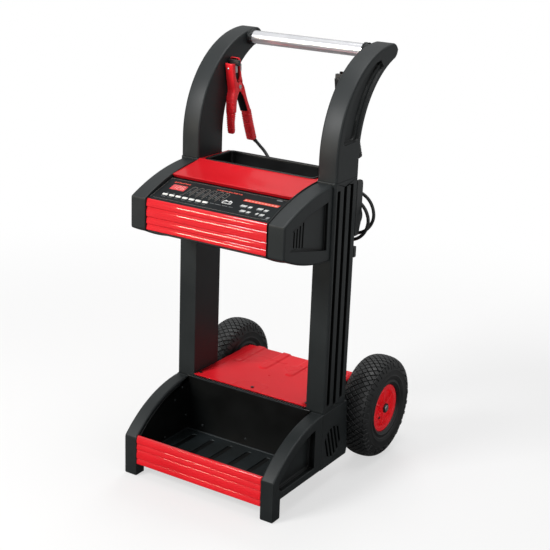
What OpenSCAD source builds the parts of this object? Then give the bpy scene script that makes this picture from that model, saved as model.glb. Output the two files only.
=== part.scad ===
// Wheeled car battery charger: two side frames carry a battery tray, a deck, a charger box and a handle.
// Lengths are in millimetres. +X is the user's right, +Y runs to the back and +Z is up.
// Every depth is counted from the front of the feet; from_front() moves it into the part's own frame,
// whose origin lies on the floor under the middle of the whole cart.

/* [Cart] */
// Width over the posts, side panels and handle arms
cart_w = 427; // [423:0.5:431]
// Thickness of a post, base box or handle arm, side to side
post_t = 50; // [48:0.5:50]
// Thickness of a tray side panel and its foot
leg_t = 35; // [33:0.5:37]
// Wall of the moulded shells
wall = 3; // [2.5:0.5:3.5]

/* [Wheels] */
// Outer diameter of the tyres
wheel_d = 260; // [256:1:262]
// Width of a tyre
tyre_w = 78; // [75:1:82]
// Diameter over the flanges of a rim
rim_d = 126; // [122:1:128]
// Distance between the middles of the two tyres
track = 430; // [428:1:434]
// Diameter of the axle
axle_d = 16; // [15:0.5:18]
// Axle behind the front of the feet
axle_back = 464; // [463:1:471]
// Radial play of a wheel on the axle
wheel_play = 0.06; // [0.03:0.01:0.09]

/* [Battery tray] */
// Length of the tray and its side panels, front to back
tray_l = 208; // [206:0.5:208]
// Height of the tray's underside
tray_z = 50; // [48:1:52]
// Height of the side panels at the front
leg_front_z = 101; // [99:1:103]
// Height of the side panels at the back, where the posts stand
base_top_z = 193; // [190:1:196]
// Radius of the curve along the top of the side panels
crest_r = 303.5; // [290:1:330]
// Height of the red front bar
bar_h = 72; // [68:1:74]

/* [Posts] */
// Front face of the posts
post_front = 212; // [211:0.5:213]
// Back face of the posts
post_back = 314; // [312:1:316]
// Top of the posts, where the handle arms start
post_top = 752; // [750:1:754]

/* [Handle] */
// Height of the whole cart
overall_h = 1038; // [1034:1:1042]
// Depth at the middle of the handle bar
grip_back = 423; // [421:1:425]
// Diameter of the handle bar
grip_d = 32; // [30:1:33]

/* [Charger box] */
// Width over the cheeks
box_w = 415; // [411:1:419]
// Thickness of a cheek
cheek_t = 44.2; // [43:0.2:45]
// Front face of the cheeks
box_front = 14; // [13:0.5:15]
// Bottom of the cheeks' front face
cheek_low_z = 620; // [618:1:622]
// Top of the cheeks' front face
cheek_high_z = 695; // [694:1:696]
// Slope of the control panel in degrees
panel_tilt = 18; // [17:0.5:19]
// Back face of the charger box
box_back = 338; // [337:1:340]
// Underside of the charger box at the posts
box_low_z = 572; // [570:1:574]
// Top of the charger box
box_top_z = 751; // [750:0.5:751.5]

/* [Control panel] */
// Keys in the row
key_count = 7; // [7:1:7]
// Distance between two keys
key_pitch = 18.4; // [17.5:0.1:19]
// Travel of a key
key_travel = 1; // [0.6:0.1:1.2]

/* [Tool tray] */
// Inner length of the tool tray, side to side
tool_w = 291; // [280:1:295]
// Inner width of the tool tray, front to back
tool_l = 103; // [98:1:104]
// Inner depth of the tool tray
tool_deep = 58; // [40:1:60]

/* [Clamps] */
// Width of a battery clamp
clamp_w = 23; // [22:0.5:23]
// Distance of a clamp's middle from the cart's middle
clamp_x = 150; // [149:0.5:150]
// Diameter of a clamp's pivot pin
clamp_pin_d = 5; // [4:0.5:6]

/* [Cords] */
// Diameter of the mains cord and the two charging leads
cord_d = 8; // [8:0.1:8]
// Free space between neighbouring turns of a coil
turn_gap = 0.6; // [0.5:0.1:0.8]
// Radius of the outer turn of the mains cord's coil
mains_coil_r = 58; // [57.5:0.5:58]
// Radius of the outer turn of a charging lead's coil
lead_coil_r = 56; // [55:0.5:56]
// Turns in a charging lead's coil
lead_turns = 4.5; // [3.5:1:4.5]

/* [Hidden] */

$fn = 72;

red = "#cf1f27";
black = "#26292b";
tub_black = "#1c1e1f";
rubber = "#202222";
steel = "#b9bcbf";
chrome = "#dcdee0";

half_w = cart_w / 2;                  // outer face of posts, arms and side panels
post_in = half_w - post_t;            // inner face of posts, base boxes and arms
leg_in = half_w - leg_t;              // inner face of the side panels
axle_z = wheel_d / 2;
overall_d = axle_back + wheel_d / 2;
front_y = -overall_d / 2;
cheek_out = box_w / 2;
cheek_in = cheek_out - cheek_t;
sheet = 2;                            // sheet metal
far = 400;                            // longer than anything that is cut away
eps = 0.01;

// Places along the control panel: u to the right, v up the slope, w square to it.
panel_foot = [box_front + 2, cheek_high_z];
panel_l = 101;
fascia_t = 3;
key_stand = 1.2;
key_size = [14, 6.5, key_stand + fascia_t + key_travel];
key_slack = 0.25;
key_v = 30;
key_row_u = -77;
window_size = [40, 21];
window_at = [-118, 64];
window_stand = 0.4;

// Pivot and levers of a clamp, as depth and height.
pivot = [344.5, 908.5];
clamp_grip_y = 335;                   // back jaw's face on the hook's tab
tab_t = 8;
tab_z = [960, 974];
jaw_gap = 0.4;
ferrule_at = [clamp_x - 6, 424.5, 765.5];
ferrule_way = [-0.6, 0.3, -0.74];     // the way the lead leaves the black clamp
ferrule_l = 6;

// Coils: two layers behind the box, wound round pegs.
coil_z = 643;
layer_y = box_back + 7;
turn_step = cord_d + turn_gap;
straight_end = cord_d;
mains_coil_x = 181.5;
mains_turns = 5;
red_coil_x = -95;
black_coil_x = 55;
mains_layers = 3;
loop_rings = 24;
loop_sides = 6;
lead_sides = 8;
boot_l = 33;

// Routes of the free stretches, as [across, depth, height], chosen by hand.
red_lead_route = [[-39, 353.6, 651], [-39, 353.6, 659], [-39.4, 355, 668], [-41, 359, 677],
    [-44, 365.5, 685.5], [-49, 374, 693], [-56, 383.5, 699], [-64, 393.5, 703.5], [-73, 403.5, 707.5],
    [-82.5, 413, 712], [-92, 420.5, 717.5], [-102, 426.5, 724.5], [-112, 430, 733], [-121, 431, 741.5],
    [-129, 430.3, 748.5], [-135.4, 428.8, 754.9], [-140.4, 426.3, 761.1]];
black_lead_route = [[111, 353.6, 651], [111, 353.6, 659], [111, 355, 668], [111, 359, 677],
    [111, 365.5, 685.5], [111.4, 374, 693], [112, 384, 699], [113, 394.5, 704], [114.5, 405, 709],
    [116.5, 414.5, 715], [119, 422.5, 722.5], [122, 428, 731.5], [126, 430.5, 740.5],
    [130.5, 430.4, 748.5], [135.4, 428.8, 754.9], [140.4, 426.3, 761.1]];
mains_end_route = [for (z = [635, 620, 605, 590])
    [mains_coil_x - mains_coil_r, layer_y + mains_layers * turn_step, z]];

function unit(v) = v / norm(v);

// Centre of the circle of radius r through p and q, on the right of the way from p to q.
function arc_centre(p, q, r) =
    let(d = q - p, l = norm(d), rise = sqrt(r * r - l * l / 4))
    (p + q) / 2 + rise / l * [d[1], -d[0]];

// Radius of an arc with the given chord and height.
function bulge_r(chord, height) = chord * chord / 8 / height + height / 2;

crest_c = arc_centre([0, leg_front_z], [tray_l, base_top_z], crest_r);
cheek_top_r = 525;
cheek_top_c = arc_centre([box_front, cheek_high_z], [post_front, 748], cheek_top_r);
cheek_low_r = 486;
cheek_low_c = arc_centre([post_front, box_low_z], [box_front, cheek_low_z], cheek_low_r);

// Curves of a handle arm.
arm_foot_z = post_top;
arm_bend_z = 798;
arm_front = post_front + 3;
arm_out_r = 240;
arm_out_c = [arm_front + arm_out_r, arm_bend_z];
tip_r = 19;
tip_c = [arm_out_c[0] - 2, overall_h - tip_r];
arm_back = post_back + 0.5;
arm_in_r = 214.8;
arm_in_c = [arm_back + arm_in_r, arm_bend_z];
grip_z = tip_c[1] - 0.5;

module from_front() translate([0, front_y, 0]) children();

// A profile of depth and height, as thick as the way from x0 to x1.
module slab(x0, x1) translate([x0, front_y, 0]) rotate([90, 0, 90]) linear_extrude(x1 - x0) children();

// A profile of width and height, as thick as the way from depth y0 to y1.
module upright(y0, y1)
    translate([0, y1 + front_y, 0]) rotate([90, 0, 0]) linear_extrude(y1 - y0) children();

// A solid of turning whose axis is the line across the cart at [depth, height].
module across(x, at) translate([x, at[0] + front_y, at[1]]) rotate([0, 90, 0]) children();

module block(x, y, z)
    from_front() translate([x[0], y[0], z[0]]) cube([x[1] - x[0], y[1] - y[0], z[1] - z[0]]);

module round_slot(length, width) {
    square([length - width, width], center = true);
    for (end = [-1, 1]) translate([end * (length - width) / 2, 0]) circle(d = width);
}

module soft_slot(w, h, r) {
    square([w - 2 * r, h], center = true);
    square([w, h - 2 * r], center = true);
    for (x = [-1, 1], y = [-1, 1]) translate([x * (w / 2 - r), y * (h / 2 - r)]) circle(r);
}

// Rings of a tube along a path, joined into one closed solid of triangles.
function ways(path) = [for (i = [0 : len(path) - 1])
    unit(path[min(i + 1, len(path) - 1)] - path[max(i - 1, 0)])];
function carried(way, u, i = 0) = i >= len(way) ? [] :
    let(w = unit(u - (u * way[i]) * way[i])) concat([w], carried(way, w, i + 1));

module tube(path, r, sides) {
    n = len(path);
    way = ways(path);
    out = carried(way, [0.1, 1, 0.05]);
    rings = [for (i = [0 : n - 1], k = [0 : sides - 1])
        let(a = 360 * k / sides) path[i] + r * (cos(a) * out[i] + sin(a) * cross(way[i], out[i]))];
    skin = [for (i = [0 : n - 2], k = [0 : sides - 1])
        let(a = i * sides + k, b = i * sides + (k + 1) % sides)
        each [[a, b + sides, b], [a, a + sides, b + sides]]];
    first = [for (k = [1 : sides - 2]) [0, k, k + 1]];
    last = [for (k = [1 : sides - 2]) (n - 1) * sides * [1, 1, 1] + [0, k + 1, k]];
    from_front() polyhedron(rings, concat(skin, first, last));
}

// A coil of two layers: from its left side down, in at a steady rate, over to the back layer in the
// half turn where the spiral reverses, and out again.
function coil_r(t, turns, r) = r - turn_step * min(t, turns - t);
function coil_layer(t, turns) = turn_step * min(1, max(0, (t - turns / 2 + 0.25) * 2));
function coil_point(t, turns, x, r) =
    let(a = 180 + 360 * t, reach = coil_r(t, turns, r))
    [x + reach * cos(a), layer_y + coil_layer(t, turns), coil_z + reach * sin(a)];
function coil_path(x, turns, r) =
    let(out = turns % 1 == 0 ? -1 : 1)
    concat([[x - r, layer_y, coil_z + straight_end]],
        [for (i = [0 : turns * loop_rings]) coil_point(i / loop_rings, turns, x, r)],
        [[x + out * r, layer_y + turn_step, coil_z + out * straight_end]]);

// The mains cord's coil, turn by turn: the outer loops hang wide and the inner ones lie round the peg.
mains_reach = [[0, mains_coil_r], [0.5, 54], [1, 36], [1.25, 32], [3.75, 32], [4, 36], [4.5, 54],
    [mains_turns, mains_coil_r]];
mains_shift = [[0, 0], [1.25, -16], [3.75, -16], [mains_turns, 0]];
mains_layer = [[1, 0], [4, mains_layers * turn_step]];

function between(t, table, i = 0) =
    t <= table[0][0] ? table[0][1] : i + 1 >= len(table) ? table[i][1] :
    t > table[i + 1][0] ? between(t, table, i + 1) :
    table[i][1] + (table[i + 1][1] - table[i][1]) * (t - table[i][0]) / (table[i + 1][0] - table[i][0]);
function mains_point(t) =
    let(a = 180 + 360 * t, reach = between(t, mains_reach))
    [mains_coil_x + between(t, mains_shift) + reach * cos(a), layer_y + between(t, mains_layer),
        coil_z + reach * sin(a)];
function mains_path() = concat([mains_point(0) + [0, 0, straight_end]],
    [for (i = [0 : mains_turns * loop_rings]) mains_point(i / loop_rings)],
    [mains_point(mains_turns) - [0, 0, straight_end]]);

// Least free space between two places on the coil that are over a third of a turn apart.
function least_gap(path) = min([for (i = [0 : len(path) - 1], j = [i + loop_rings / 3 : len(path) - 1])
    norm(path[i] - path[j])]) - cord_d;

module coil(name, path) {
    echo(str(name, " least gap ", least_gap(path)));
    tube(path, cord_d / 2, loop_sides);
}

module mirrored(side) mirror([side < 0 ? 1 : 0, 0, 0]) children();

// ---- Side frames ----

module under_crest(drop) translate(crest_c) circle(crest_r - drop, $fn = 120);

module tray_side_profile() {
    foot_l = 33;
    intersection() {
        polygon([[0, 0], [foot_l, 0], [foot_l, tray_z], [tray_l, tray_z], [tray_l, far], [0, far]]);
        under_crest(0);
    }
}

module tray_side() {
    ledge = 12.5;
    floor_depth = 16;
    difference() {
        slab(leg_in, half_w) tray_side_profile();
        slab(half_w - ledge, half_w + eps) intersection() {
            polygon([[35, 68], [177.5, 68], [174, far], [24, far], [24, 78]]);
            under_crest(24);
        }
        slab(half_w - floor_depth, half_w + eps) intersection() {
            polygon([[39, 73], [172.5, 73], [169, far], [29, far], [29, 83]]);
            under_crest(29);
        }
    }
}

module left_tray_side() color(black) mirrored(-1) tray_side();
module right_tray_side() color(black) mirrored(1) tray_side();

module base_box() {
    outline = [[tray_l, 48], [332, 48], [336, 64], [323, base_top_z], [tray_l, base_top_z]];
    vent = [261, 107];
    vent_r = 38.5;
    slot_pitch = 14.5;
    slot_w = 7;
    slot_lean = 17;
    difference() {
        slab(post_in, half_w) polygon(outline);
        slab(post_in - eps, half_w - 2 * wall) polygon([[tray_l + wall, 48 + wall], [329, 48 + wall],
            [332.5, 64], [320, base_top_z - wall], [tray_l + wall, base_top_z - wall]]);
        slab(post_in, half_w + eps) translate(vent) intersection() {
            circle(vent_r);
            for (i = [-2 : 2])
                rotate(slot_lean) translate([i * slot_pitch, 0]) square([slot_w, far], center = true);
        }
    }
}

module left_base_box() color(black) mirrored(-1) base_box();
module right_base_box() color(black) mirrored(1) base_box();

module post() {
    groove_w = 12.7;
    groove_deep = 8;
    groove_r = 4;
    lows = [209, 204, 212];
    tops = [732, 738, 738];
    places = [229, 258.5, 288];
    difference() {
        slab(post_in, half_w) translate([post_front, base_top_z])
            square([post_back - post_front, post_top - base_top_z]);
        slab(post_in + wall, half_w - groove_deep - wall) translate([post_front + wall, base_top_z - eps])
            square([post_back - post_front - 2 * wall, post_top - base_top_z + 2 * eps]);
        for (i = [0 : 2]) slab(half_w - groove_deep, half_w + eps)
            translate([places[i], (lows[i] + tops[i]) / 2])
                soft_slot(groove_w, tops[i] - lows[i], groove_r);
    }
}

module left_post() color(black) mirrored(-1) post();
module right_post() color(black) mirrored(1) post();

module handle_arm_profile() {
    translate([arm_front, arm_foot_z]) square([arm_back - arm_front, arm_bend_z - arm_foot_z + eps]);
    difference() {
        intersection() {
            translate(arm_out_c) circle(arm_out_r, $fn = 120);
            polygon([[arm_front - 1, arm_bend_z], arm_in_c, tip_c, [tip_c[0], overall_h + 1],
                [arm_front - 1, overall_h + 1]]);
        }
        translate(arm_in_c) circle(arm_in_r, $fn = 120);
    }
    translate(tip_c) circle(tip_r);
}

// The recess keeps the same distance from the arm's two curves, and ends flat below and round above.
module arm_recess(front_rim, back_rim, low) {
    top = [404, 997];
    top_r = 11;
    difference() {
        intersection() {
            translate(arm_out_c) circle(arm_out_r - front_rim, $fn = 120);
            polygon([[arm_front, low], [arm_back, low + 3], [430, 960], top, top + [-4, far],
                [arm_front, far * 3]]);
        }
        translate(arm_in_c) circle(arm_in_r + back_rim, $fn = 120);
    }
    if (low < 835) translate(top) circle(top_r);
}

module handle_arm() {
    socket = 14;
    ledge = 5.5;
    floor_depth = 9.5;
    difference() {
        slab(post_in, half_w) handle_arm_profile();
        slab(half_w - ledge, half_w + eps) arm_recess(21, 13, 832);
        slab(half_w - floor_depth, half_w + eps) arm_recess(25, 25, 836);
        across(post_in - eps, [grip_back, grip_z]) cylinder(d = grip_d, h = socket + eps);
    }
}

module left_handle_arm() color(black) mirrored(-1) handle_arm();
module right_handle_arm() color(black) mirrored(1) handle_arm();

module handle_bar() color(chrome) {
    reach = post_in + 14;
    across(-reach, [grip_back, grip_z]) difference() {
        cylinder(d = grip_d, h = 2 * reach);
        translate([0, 0, -1]) cylinder(d = grip_d - 4, h = 2 * reach + 2);
    }
}

module bar_collars() color(black) for (side = [-1, 1]) mirrored(side)
    across(post_in - 12, [grip_back, grip_z]) difference() {
        cylinder(d = grip_d + 6, h = 12);
        translate([0, 0, -1]) cylinder(d = grip_d, h = 14);
    }

// ---- Battery tray, deck and chassis ----

bar_low_z = 33;
bar_t = 10;

module battery_tray() color(tub_black) {
    grooves = 6;
    groove_pitch = 54.8;
    groove_w = 14;
    groove_deep = 1.5;
    groove_way = [26, 185];
    rim_low_z = base_top_z + 2;
    difference() {
        union() {
            slab(-leg_in, leg_in) intersection() {
                translate([bar_t, tray_z]) square([tray_l - bar_t, far]);
                under_crest(8);
            }
            slab(-leg_in, leg_in) translate([tray_l - wall, base_top_z - 20]) square([wall, 25]);
            slab(-post_in, post_in) translate([tray_l - wall, rim_low_z])
                square([post_front - tray_l + wall, wall]);
        }
        slab(-leg_in + wall, leg_in - wall) translate([bar_t + wall, tray_z + wall])
            square([tray_l - bar_t - 2 * wall, far]);
        for (i = [1 : grooves])
            from_front() translate([(i - (grooves + 1) / 2) * groove_pitch,
                    (groove_way[0] + groove_way[1]) / 2, tray_z + wall - groove_deep])
                linear_extrude(2 * wall) rotate(90) round_slot(groove_way[1] - groove_way[0], groove_w);
    }
}

// Bands that bulge forward from a flat plate, between two heights.
module banded_profile(front, thick, low, high, bands, bulge) {
    step = (high - low) / bands;
    r = bulge_r(step - 1, bulge);
    translate([front + bulge, low]) square([thick - bulge, high - low]);
    for (i = [0 : bands - 1]) intersection() {
        translate([front + r, low + (i + 0.5) * step]) circle(r);
        translate([front - 1, low + i * step]) square([bulge + 1 + eps, step]);
    }
}

module tray_front_bar() color(red)
    slab(-leg_in, leg_in) banded_profile(0, bar_t, bar_low_z, bar_low_z + bar_h, 5, 4);

deck_z = 200;
deck_back = 465;
deck_top_z = deck_z + sheet;
deck_screws = [[-155, 228], [0, 228], [155, 228]];
screw_d = 4;
bead_xs = [-126, -48, 30, 108];
bead_w = 28;
bead_h = 3;
bead_slope = 6;
bead_front = 340;

// Stiffening bead of the deck: sloping sides and front, open at the deck's back edge.
module bead(x) intersection() {
    upright(bead_front, deck_back) translate([x, deck_z]) polygon([[-bead_w / 2, 0], [-bead_w / 2, sheet],
        [bead_slope - bead_w / 2, sheet + bead_h], [bead_w / 2 - bead_slope, sheet + bead_h],
        [bead_w / 2, sheet], [bead_w / 2, 0]]);
    slab(x - bead_w, x + bead_w) polygon([[bead_front, deck_z], [bead_front, deck_top_z],
        [bead_front + 2 * bead_slope, deck_top_z + bead_h], [deck_back, deck_top_z + bead_h],
        [deck_back, deck_z]]);
}

module deck() color(red) difference() {
    union() {
        block([-post_in, post_in], [post_front, deck_back], [deck_z, deck_top_z]);
        block([-post_in, post_in], [deck_back - sheet, deck_back], [deck_z - 22, deck_z]);
        for (x = bead_xs) bead(x);
    }
    for (s = deck_screws)
        from_front() translate([s[0], s[1], deck_z - 1]) cylinder(d = screw_d, h = sheet + 2, $fn = 24);
}

plate_t = 4;

module chassis_plate() difference() {
    union() {
        slab(post_in - plate_t, post_in) polygon([[post_front, 58], [330, 58], [452, 102], [463, 178],
            [463, deck_z], [post_front, deck_z]]);
        across(post_in - plate_t, [axle_back, axle_z]) cylinder(r = 32, h = plate_t);
    }
    across(0, [axle_back, axle_z]) cylinder(d = axle_d, h = far);
}

module left_chassis_plate() color(black) mirrored(-1) chassis_plate();
module right_chassis_plate() color(black) mirrored(1) chassis_plate();

// ---- Wheels and axle ----

tyre_x = track / 2;
rim_half = 31;                        // half width over the rim's flanges
hub_in = post_in + 1.5;
hub_out = tyre_x + rim_half;
bead_r = rim_d / 2 - 5;

module axle() color(chrome) {
    reach = hub_out + 6;
    across(-reach, [axle_back, axle_z]) cylinder(d = axle_d, h = 2 * reach);
}

module retaining_rings() color(black) for (side = [-1, 1]) mirrored(side)
    across(hub_out + 0.6, [axle_back, axle_z]) difference() {
        cylinder(d = axle_d + 8, h = 3);
        translate([0, 0, -1]) cylinder(d = axle_d, h = 5);
    }

module tyre() {
    half = tyre_w / 2;
    r = wheel_d / 2;
    outer = [[rim_half - 4, bead_r], [rim_half - 4, bead_r + 5.4], [half * 0.8, bead_r + 6],
        [half * 0.91, bead_r + 11], [half * 0.98, bead_r + 22], [half, r - 38], [half * 0.98, r - 24],
        [half * 0.88, r - 12], [half * 0.7, r - 5], [half * 0.35, r - 1], [0, r]];
    inner = [[0, r - 8], [half * 0.4, r - 10], [half * 0.65, r - 16], [half * 0.78, r - 25],
        [half * 0.81, r - 38], [half * 0.79, bead_r + 25], [half * 0.7, bead_r + 14],
        [17, bead_r + 7], [17, bead_r]];
    across(tyre_x, [axle_back, axle_z]) rotate_extrude($fn = 96) polygon(concat(
        [for (p = outer) [p[1], p[0]]],
        [for (i = [len(outer) - 2 : -1 : 0]) [outer[i][1], -outer[i][0]]],
        [for (i = [len(inner) - 1 : -1 : 0]) [inner[i][1], -inner[i][0]]],
        [for (i = [1 : len(inner) - 1]) [inner[i][1], inner[i][0]]]));
}

module rim() {
    ribs = 6;
    disc = rim_half - 9;
    across(tyre_x, [axle_back, axle_z]) difference() {
        union() {
            rotate_extrude($fn = 96) {
                translate([bead_r - 5, -rim_half]) square([5, 2 * rim_half]);
                for (z = [-rim_half, rim_half - 4]) translate([bead_r - 5, z]) square([10, 4]);
                translate([axle_d / 2 + 4, disc - 4]) square([bead_r - axle_d / 2 - 6, 4]);
                translate([bead_r - 11, disc - 4]) square([8, rim_half - disc + 4]);
            }
            translate([0, 0, hub_in - tyre_x]) cylinder(d = axle_d + 14, h = hub_out - hub_in);
            for (i = [0 : ribs - 1]) rotate(i * 360 / ribs) translate([axle_d / 2 + 5, -1.5, disc - 1])
                cube([bead_r - axle_d / 2 - 14, 3, 7]);
        }
        translate([0, 0, -far / 2]) cylinder(r = axle_d / 2 + wheel_play, h = far);
        rotate(-30) translate([bead_r - 28, 0, 0]) cylinder(d = 9, h = far, $fn = 32);
    }
}

module left_tyre() color(rubber) mirrored(-1) tyre();
module right_tyre() color(rubber) mirrored(1) tyre();
module left_rim() color(red) mirrored(-1) rim();
module right_rim() color(red) mirrored(1) rim();

// ---- Charger box ----

module cheek_profile(inset) intersection() {
    translate([box_front + inset, box_low_z - 30]) square([post_front - box_front - 2 * inset, 250]);
    translate(cheek_top_c) circle(cheek_top_r - inset, $fn = 144);
    translate(cheek_low_c) circle(cheek_low_r - inset, $fn = 144);
}

cheek_recess = 8;

module cheek() {
    louvres = [[60, 673.5, 637], [72.5, 678, 634], [85, 682, 631], [98, 687, 628]];
    difference() {
        slab(cheek_in, cheek_out) cheek_profile(0);
        slab(cheek_in - eps, cheek_out - wall - cheek_recess) cheek_profile(wall);
        slab(cheek_out - cheek_recess, cheek_out + eps)
            polygon([[45, 679], [113, 700], [194, 713], [195, 601], [41, 634]]);
        for (l = louvres) slab(cheek_in, cheek_out + eps) translate([l[0], (l[1] + l[2]) / 2])
            rotate(88) round_slot(l[1] - l[2], 5);
    }
}

module left_cheek() color(black) mirrored(-1) cheek();
module right_cheek() color(black) mirrored(1) cheek();

module front_panel() color(red) {
    low = 622;
    high = cheek_high_z - 3;
    slab(-cheek_in, cheek_in) {
        banded_profile(box_front, 7, low, high, 4, 4);
        translate([box_front, high - 8]) intersection() {
            translate([4, 7]) circle(4);
            square([5, 12]);
        }
    }
}

module on_panel()
    from_front() translate([0, panel_foot[0], panel_foot[1]]) rotate([panel_tilt, 0, 0]) children();

function key_u(i) = key_row_u + (i - (key_count + 1) / 2) * key_pitch;

board_drop = 11;

module control_fascia() color(black) {
    margin = 3;
    on_panel() {
        difference() {
            translate([-cheek_in, margin, -fascia_t]) cube([2 * cheek_in, panel_l - margin, fascia_t]);
            for (i = [1 : key_count]) translate([key_u(i), key_v, 0])
                cube([key_size[0] + 2 * key_slack, key_size[1] + 2 * key_slack, far], center = true);
            translate([window_at[0], window_at[1], 0])
                cube([window_size[0], window_size[1], far], center = true);
        }
        for (x = [-135, 135], v = [14, 90])
            translate([x, v, -board_drop]) cylinder(d = 7, h = board_drop - fascia_t);
    }
}

module display_window() color("#d23a3a") on_panel()
    translate([window_at[0], window_at[1], (window_stand - fascia_t) / 2])
        cube([window_size[0], window_size[1], fascia_t + window_stand], center = true);

module key(i) color("#e8e8e6")
    on_panel() translate([key_u(i), key_v, key_stand - key_size[2] / 2]) cube(key_size, center = true);

module key_1() key(1);
module key_2() key(2);
module key_3() key(3);
module key_4() key(4);
module key_5() key(5);
module key_6() key(6);
module key_7() key(7);

module circuit_board() color("#2f6b45") {
    board = [300, 86, 1.6];
    chip = [26, 18, 8];
    on_panel() {
        translate([-board[0] / 2, 8, -board_drop - board[2]]) cube(board);
        for (x = [-90, -20, 60]) translate([x, 55, -board_drop - board[2] - chip[2]]) cube(chip);
    }
}

slope_back = 218;                     // where the top cover turns level

// The cover is one sheet: a lip over the panel, a slope, and a flat frame round the tool tray.
module top_cover() color(red) {
    t = 3;
    lip = [panel_foot[0] + panel_l * cos(panel_tilt), panel_foot[1] + panel_l * sin(panel_tilt)];
    skin = [[lip[0] + 0.5, lip[1]], [lip[0] + 1, lip[1] + 4], [lip[0] + 6, lip[1] + 7],
        [slope_back, box_top_z], [box_back, box_top_z]];
    under = [[box_back, box_top_z - t], [slope_back, box_top_z - t], [lip[0] + 8, lip[1] + 4],
        [lip[0] + 5, lip[1]]];
    difference() {
        union() {
            intersection() {
                slab(-cheek_in, cheek_in) polygon(concat(skin, under));
                block([-far, far], [0, post_front], [0, far * 2]);
            }
            intersection() {
                slab(-post_in, post_in) polygon(concat(skin, under));
                block([-far, far], [post_front, box_back], [0, far * 2]);
            }
        }
        block([-tool_out, tool_out], [tool_front, tool_back], [0, far * 2]);
    }
}

tool_t = 2.5;
tool_out = tool_w / 2 + tool_t;
tool_front = 222;
tool_back = tool_front + tool_l + 2 * tool_t;
tool_low_z = box_top_z - tool_deep - tool_t;

module tool_tray() color(tub_black) {
    lip_w = 4;
    lip_t = 3;
    difference() {
        union() {
            block([-tool_out, tool_out], [tool_front, tool_back], [tool_low_z, box_top_z]);
            block([-tool_out - lip_w, tool_out + lip_w], [tool_front - lip_w, tool_back + lip_w],
                [box_top_z, box_top_z + lip_t]);
        }
        block([-tool_w / 2, tool_w / 2], [tool_front + tool_t, tool_back - tool_t],
            [tool_low_z + tool_t, far * 2]);
    }
}

module base_pan() color(black) {
    sill = post_front;
    slab(-cheek_in, cheek_in) difference() {
        intersection() {
            translate([box_front + 4, box_low_z - 30]) square([sill - box_front - 4, 90]);
            translate(cheek_low_c) circle(cheek_low_r, $fn = 144);
        }
        translate(cheek_low_c) circle(cheek_low_r - sheet, $fn = 144);
    }
    block([-post_in, post_in], [sill, box_back - wall], [box_low_z, box_low_z + sheet]);
    block([-cheek_in, cheek_in], [box_front + 7, box_front + 9], [cheek_low_z - 3, cheek_low_z + 30]);
    for (side = [-1, 1]) mirrored(side)
        block([post_in - sheet, post_in], [slope_back, box_back - wall],
            [box_low_z + sheet, box_top_z - 3]);
}

cover_screws = [for (x = [-152, 152], z = [582, 740]) [x, z]];

module rear_cover() color(black) difference() {
    block([-post_in, post_in], [box_back - wall, box_back], [box_low_z, box_top_z - 3]);
    for (s = cover_screws) from_front() translate([s[0], box_back + 1, s[1]]) rotate([90, 0, 0])
        cylinder(d = screw_d, h = wall + 2, $fn = 24);
    for (x = [-80 : 20 : 80]) upright(box_back - wall - 1, box_back + 1) translate([x, 596])
        rotate(90) round_slot(26, 5);
}

// ---- Inside the box ----

fan_at = [104, 646];
fan_size = 80;
fan_t = 24;
fan_x = cheek_out - wall - cheek_recess - fan_t;
fan_pin_d = 4;

module fan_frame() color("#3a3d40") across(fan_x, fan_at) {
    difference() {
        translate([-fan_size / 2, -fan_size / 2, 0]) cube([fan_size, fan_size, fan_t]);
        translate([0, 0, -1]) cylinder(r = 38, h = fan_t + 2);
    }
    difference() {
        union() {
            cylinder(r = 14, h = 5);
            for (a = [45 : 90 : 315]) rotate(a) translate([10, -2, 0]) cube([29, 4, 3]);
        }
        translate([0, 0, 1]) cylinder(r = fan_pin_d / 2 + 0.05, h = 10);
    }
}

module fan_rotor() color("#55595c") {
    blades = 7;
    blade = [22, 15, 2];
    pitch = 38;
    hub = [15, 14];                   // radius and height
    across(fan_x + 6, fan_at) {
        cylinder(r = hub[0], h = hub[1]);
        translate([0, 0, -4]) cylinder(d = fan_pin_d, h = 5);
        for (i = [0 : blades - 1]) rotate(i * 360 / blades) translate([24, 0, hub[1] / 2])
            rotate([pitch, 0, 0]) cube(blade, center = true);
    }
}

core_at = [-70, 276];
core_low = box_low_z + sheet;
core_size = [90, 50, 76];
core_leg = 15;

module on_core_foot() from_front() translate([core_at[0], core_at[1], core_low]) children();

module transformer_core() color(steel) on_core_foot() difference() {
    translate([-core_size[0] / 2, -core_size[1] / 2, 0]) cube(core_size);
    for (side = [-1, 1]) translate([side * 1.5 * core_leg, 0, core_size[2] / 2])
        cube([core_leg, core_size[1] + 2, core_size[2] - 2 * core_leg], center = true);
}

module transformer_coil() color("#b26a35")
    on_core_foot() translate([0, 0, core_size[2] / 2]) difference() {
        cube([4 * core_leg, core_size[1] + 2 * core_leg, core_size[2] - 2 * core_leg], center = true);
        cube([2 * core_leg, core_size[1], far], center = true);
    }

module heat_sink() color("#c4c7c9") {
    fins = 9;
    pitch = 11;
    left = 20;
    depth = [240, 320];
    foot_t = 6;
    block([left, left + pitch * (fins - 1) + sheet], depth, [core_low, core_low + foot_t]);
    for (i = [0 : fins - 1])
        block([left + pitch * i, left + pitch * i + sheet], depth, [core_low + foot_t, core_low + 50]);
}

// ---- Hooks and glands ----

module clamp_hooks() color(black) for (side = [-1, 1]) mirrored(side)
    block([clamp_x - 18, post_in], [clamp_grip_y - tab_t, clamp_grip_y], tab_z);

peg_d = 28;
peg_x = mains_coil_x + mains_shift[1][1];
mains_peg_z = coil_z + mains_reach[3][1] - cord_d / 2 - 0.5 - peg_d / 2;
lead_peg_z = coil_z + lead_coil_r - 1.75 * turn_step - cord_d / 2 - 0.5 - peg_d / 2;

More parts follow.
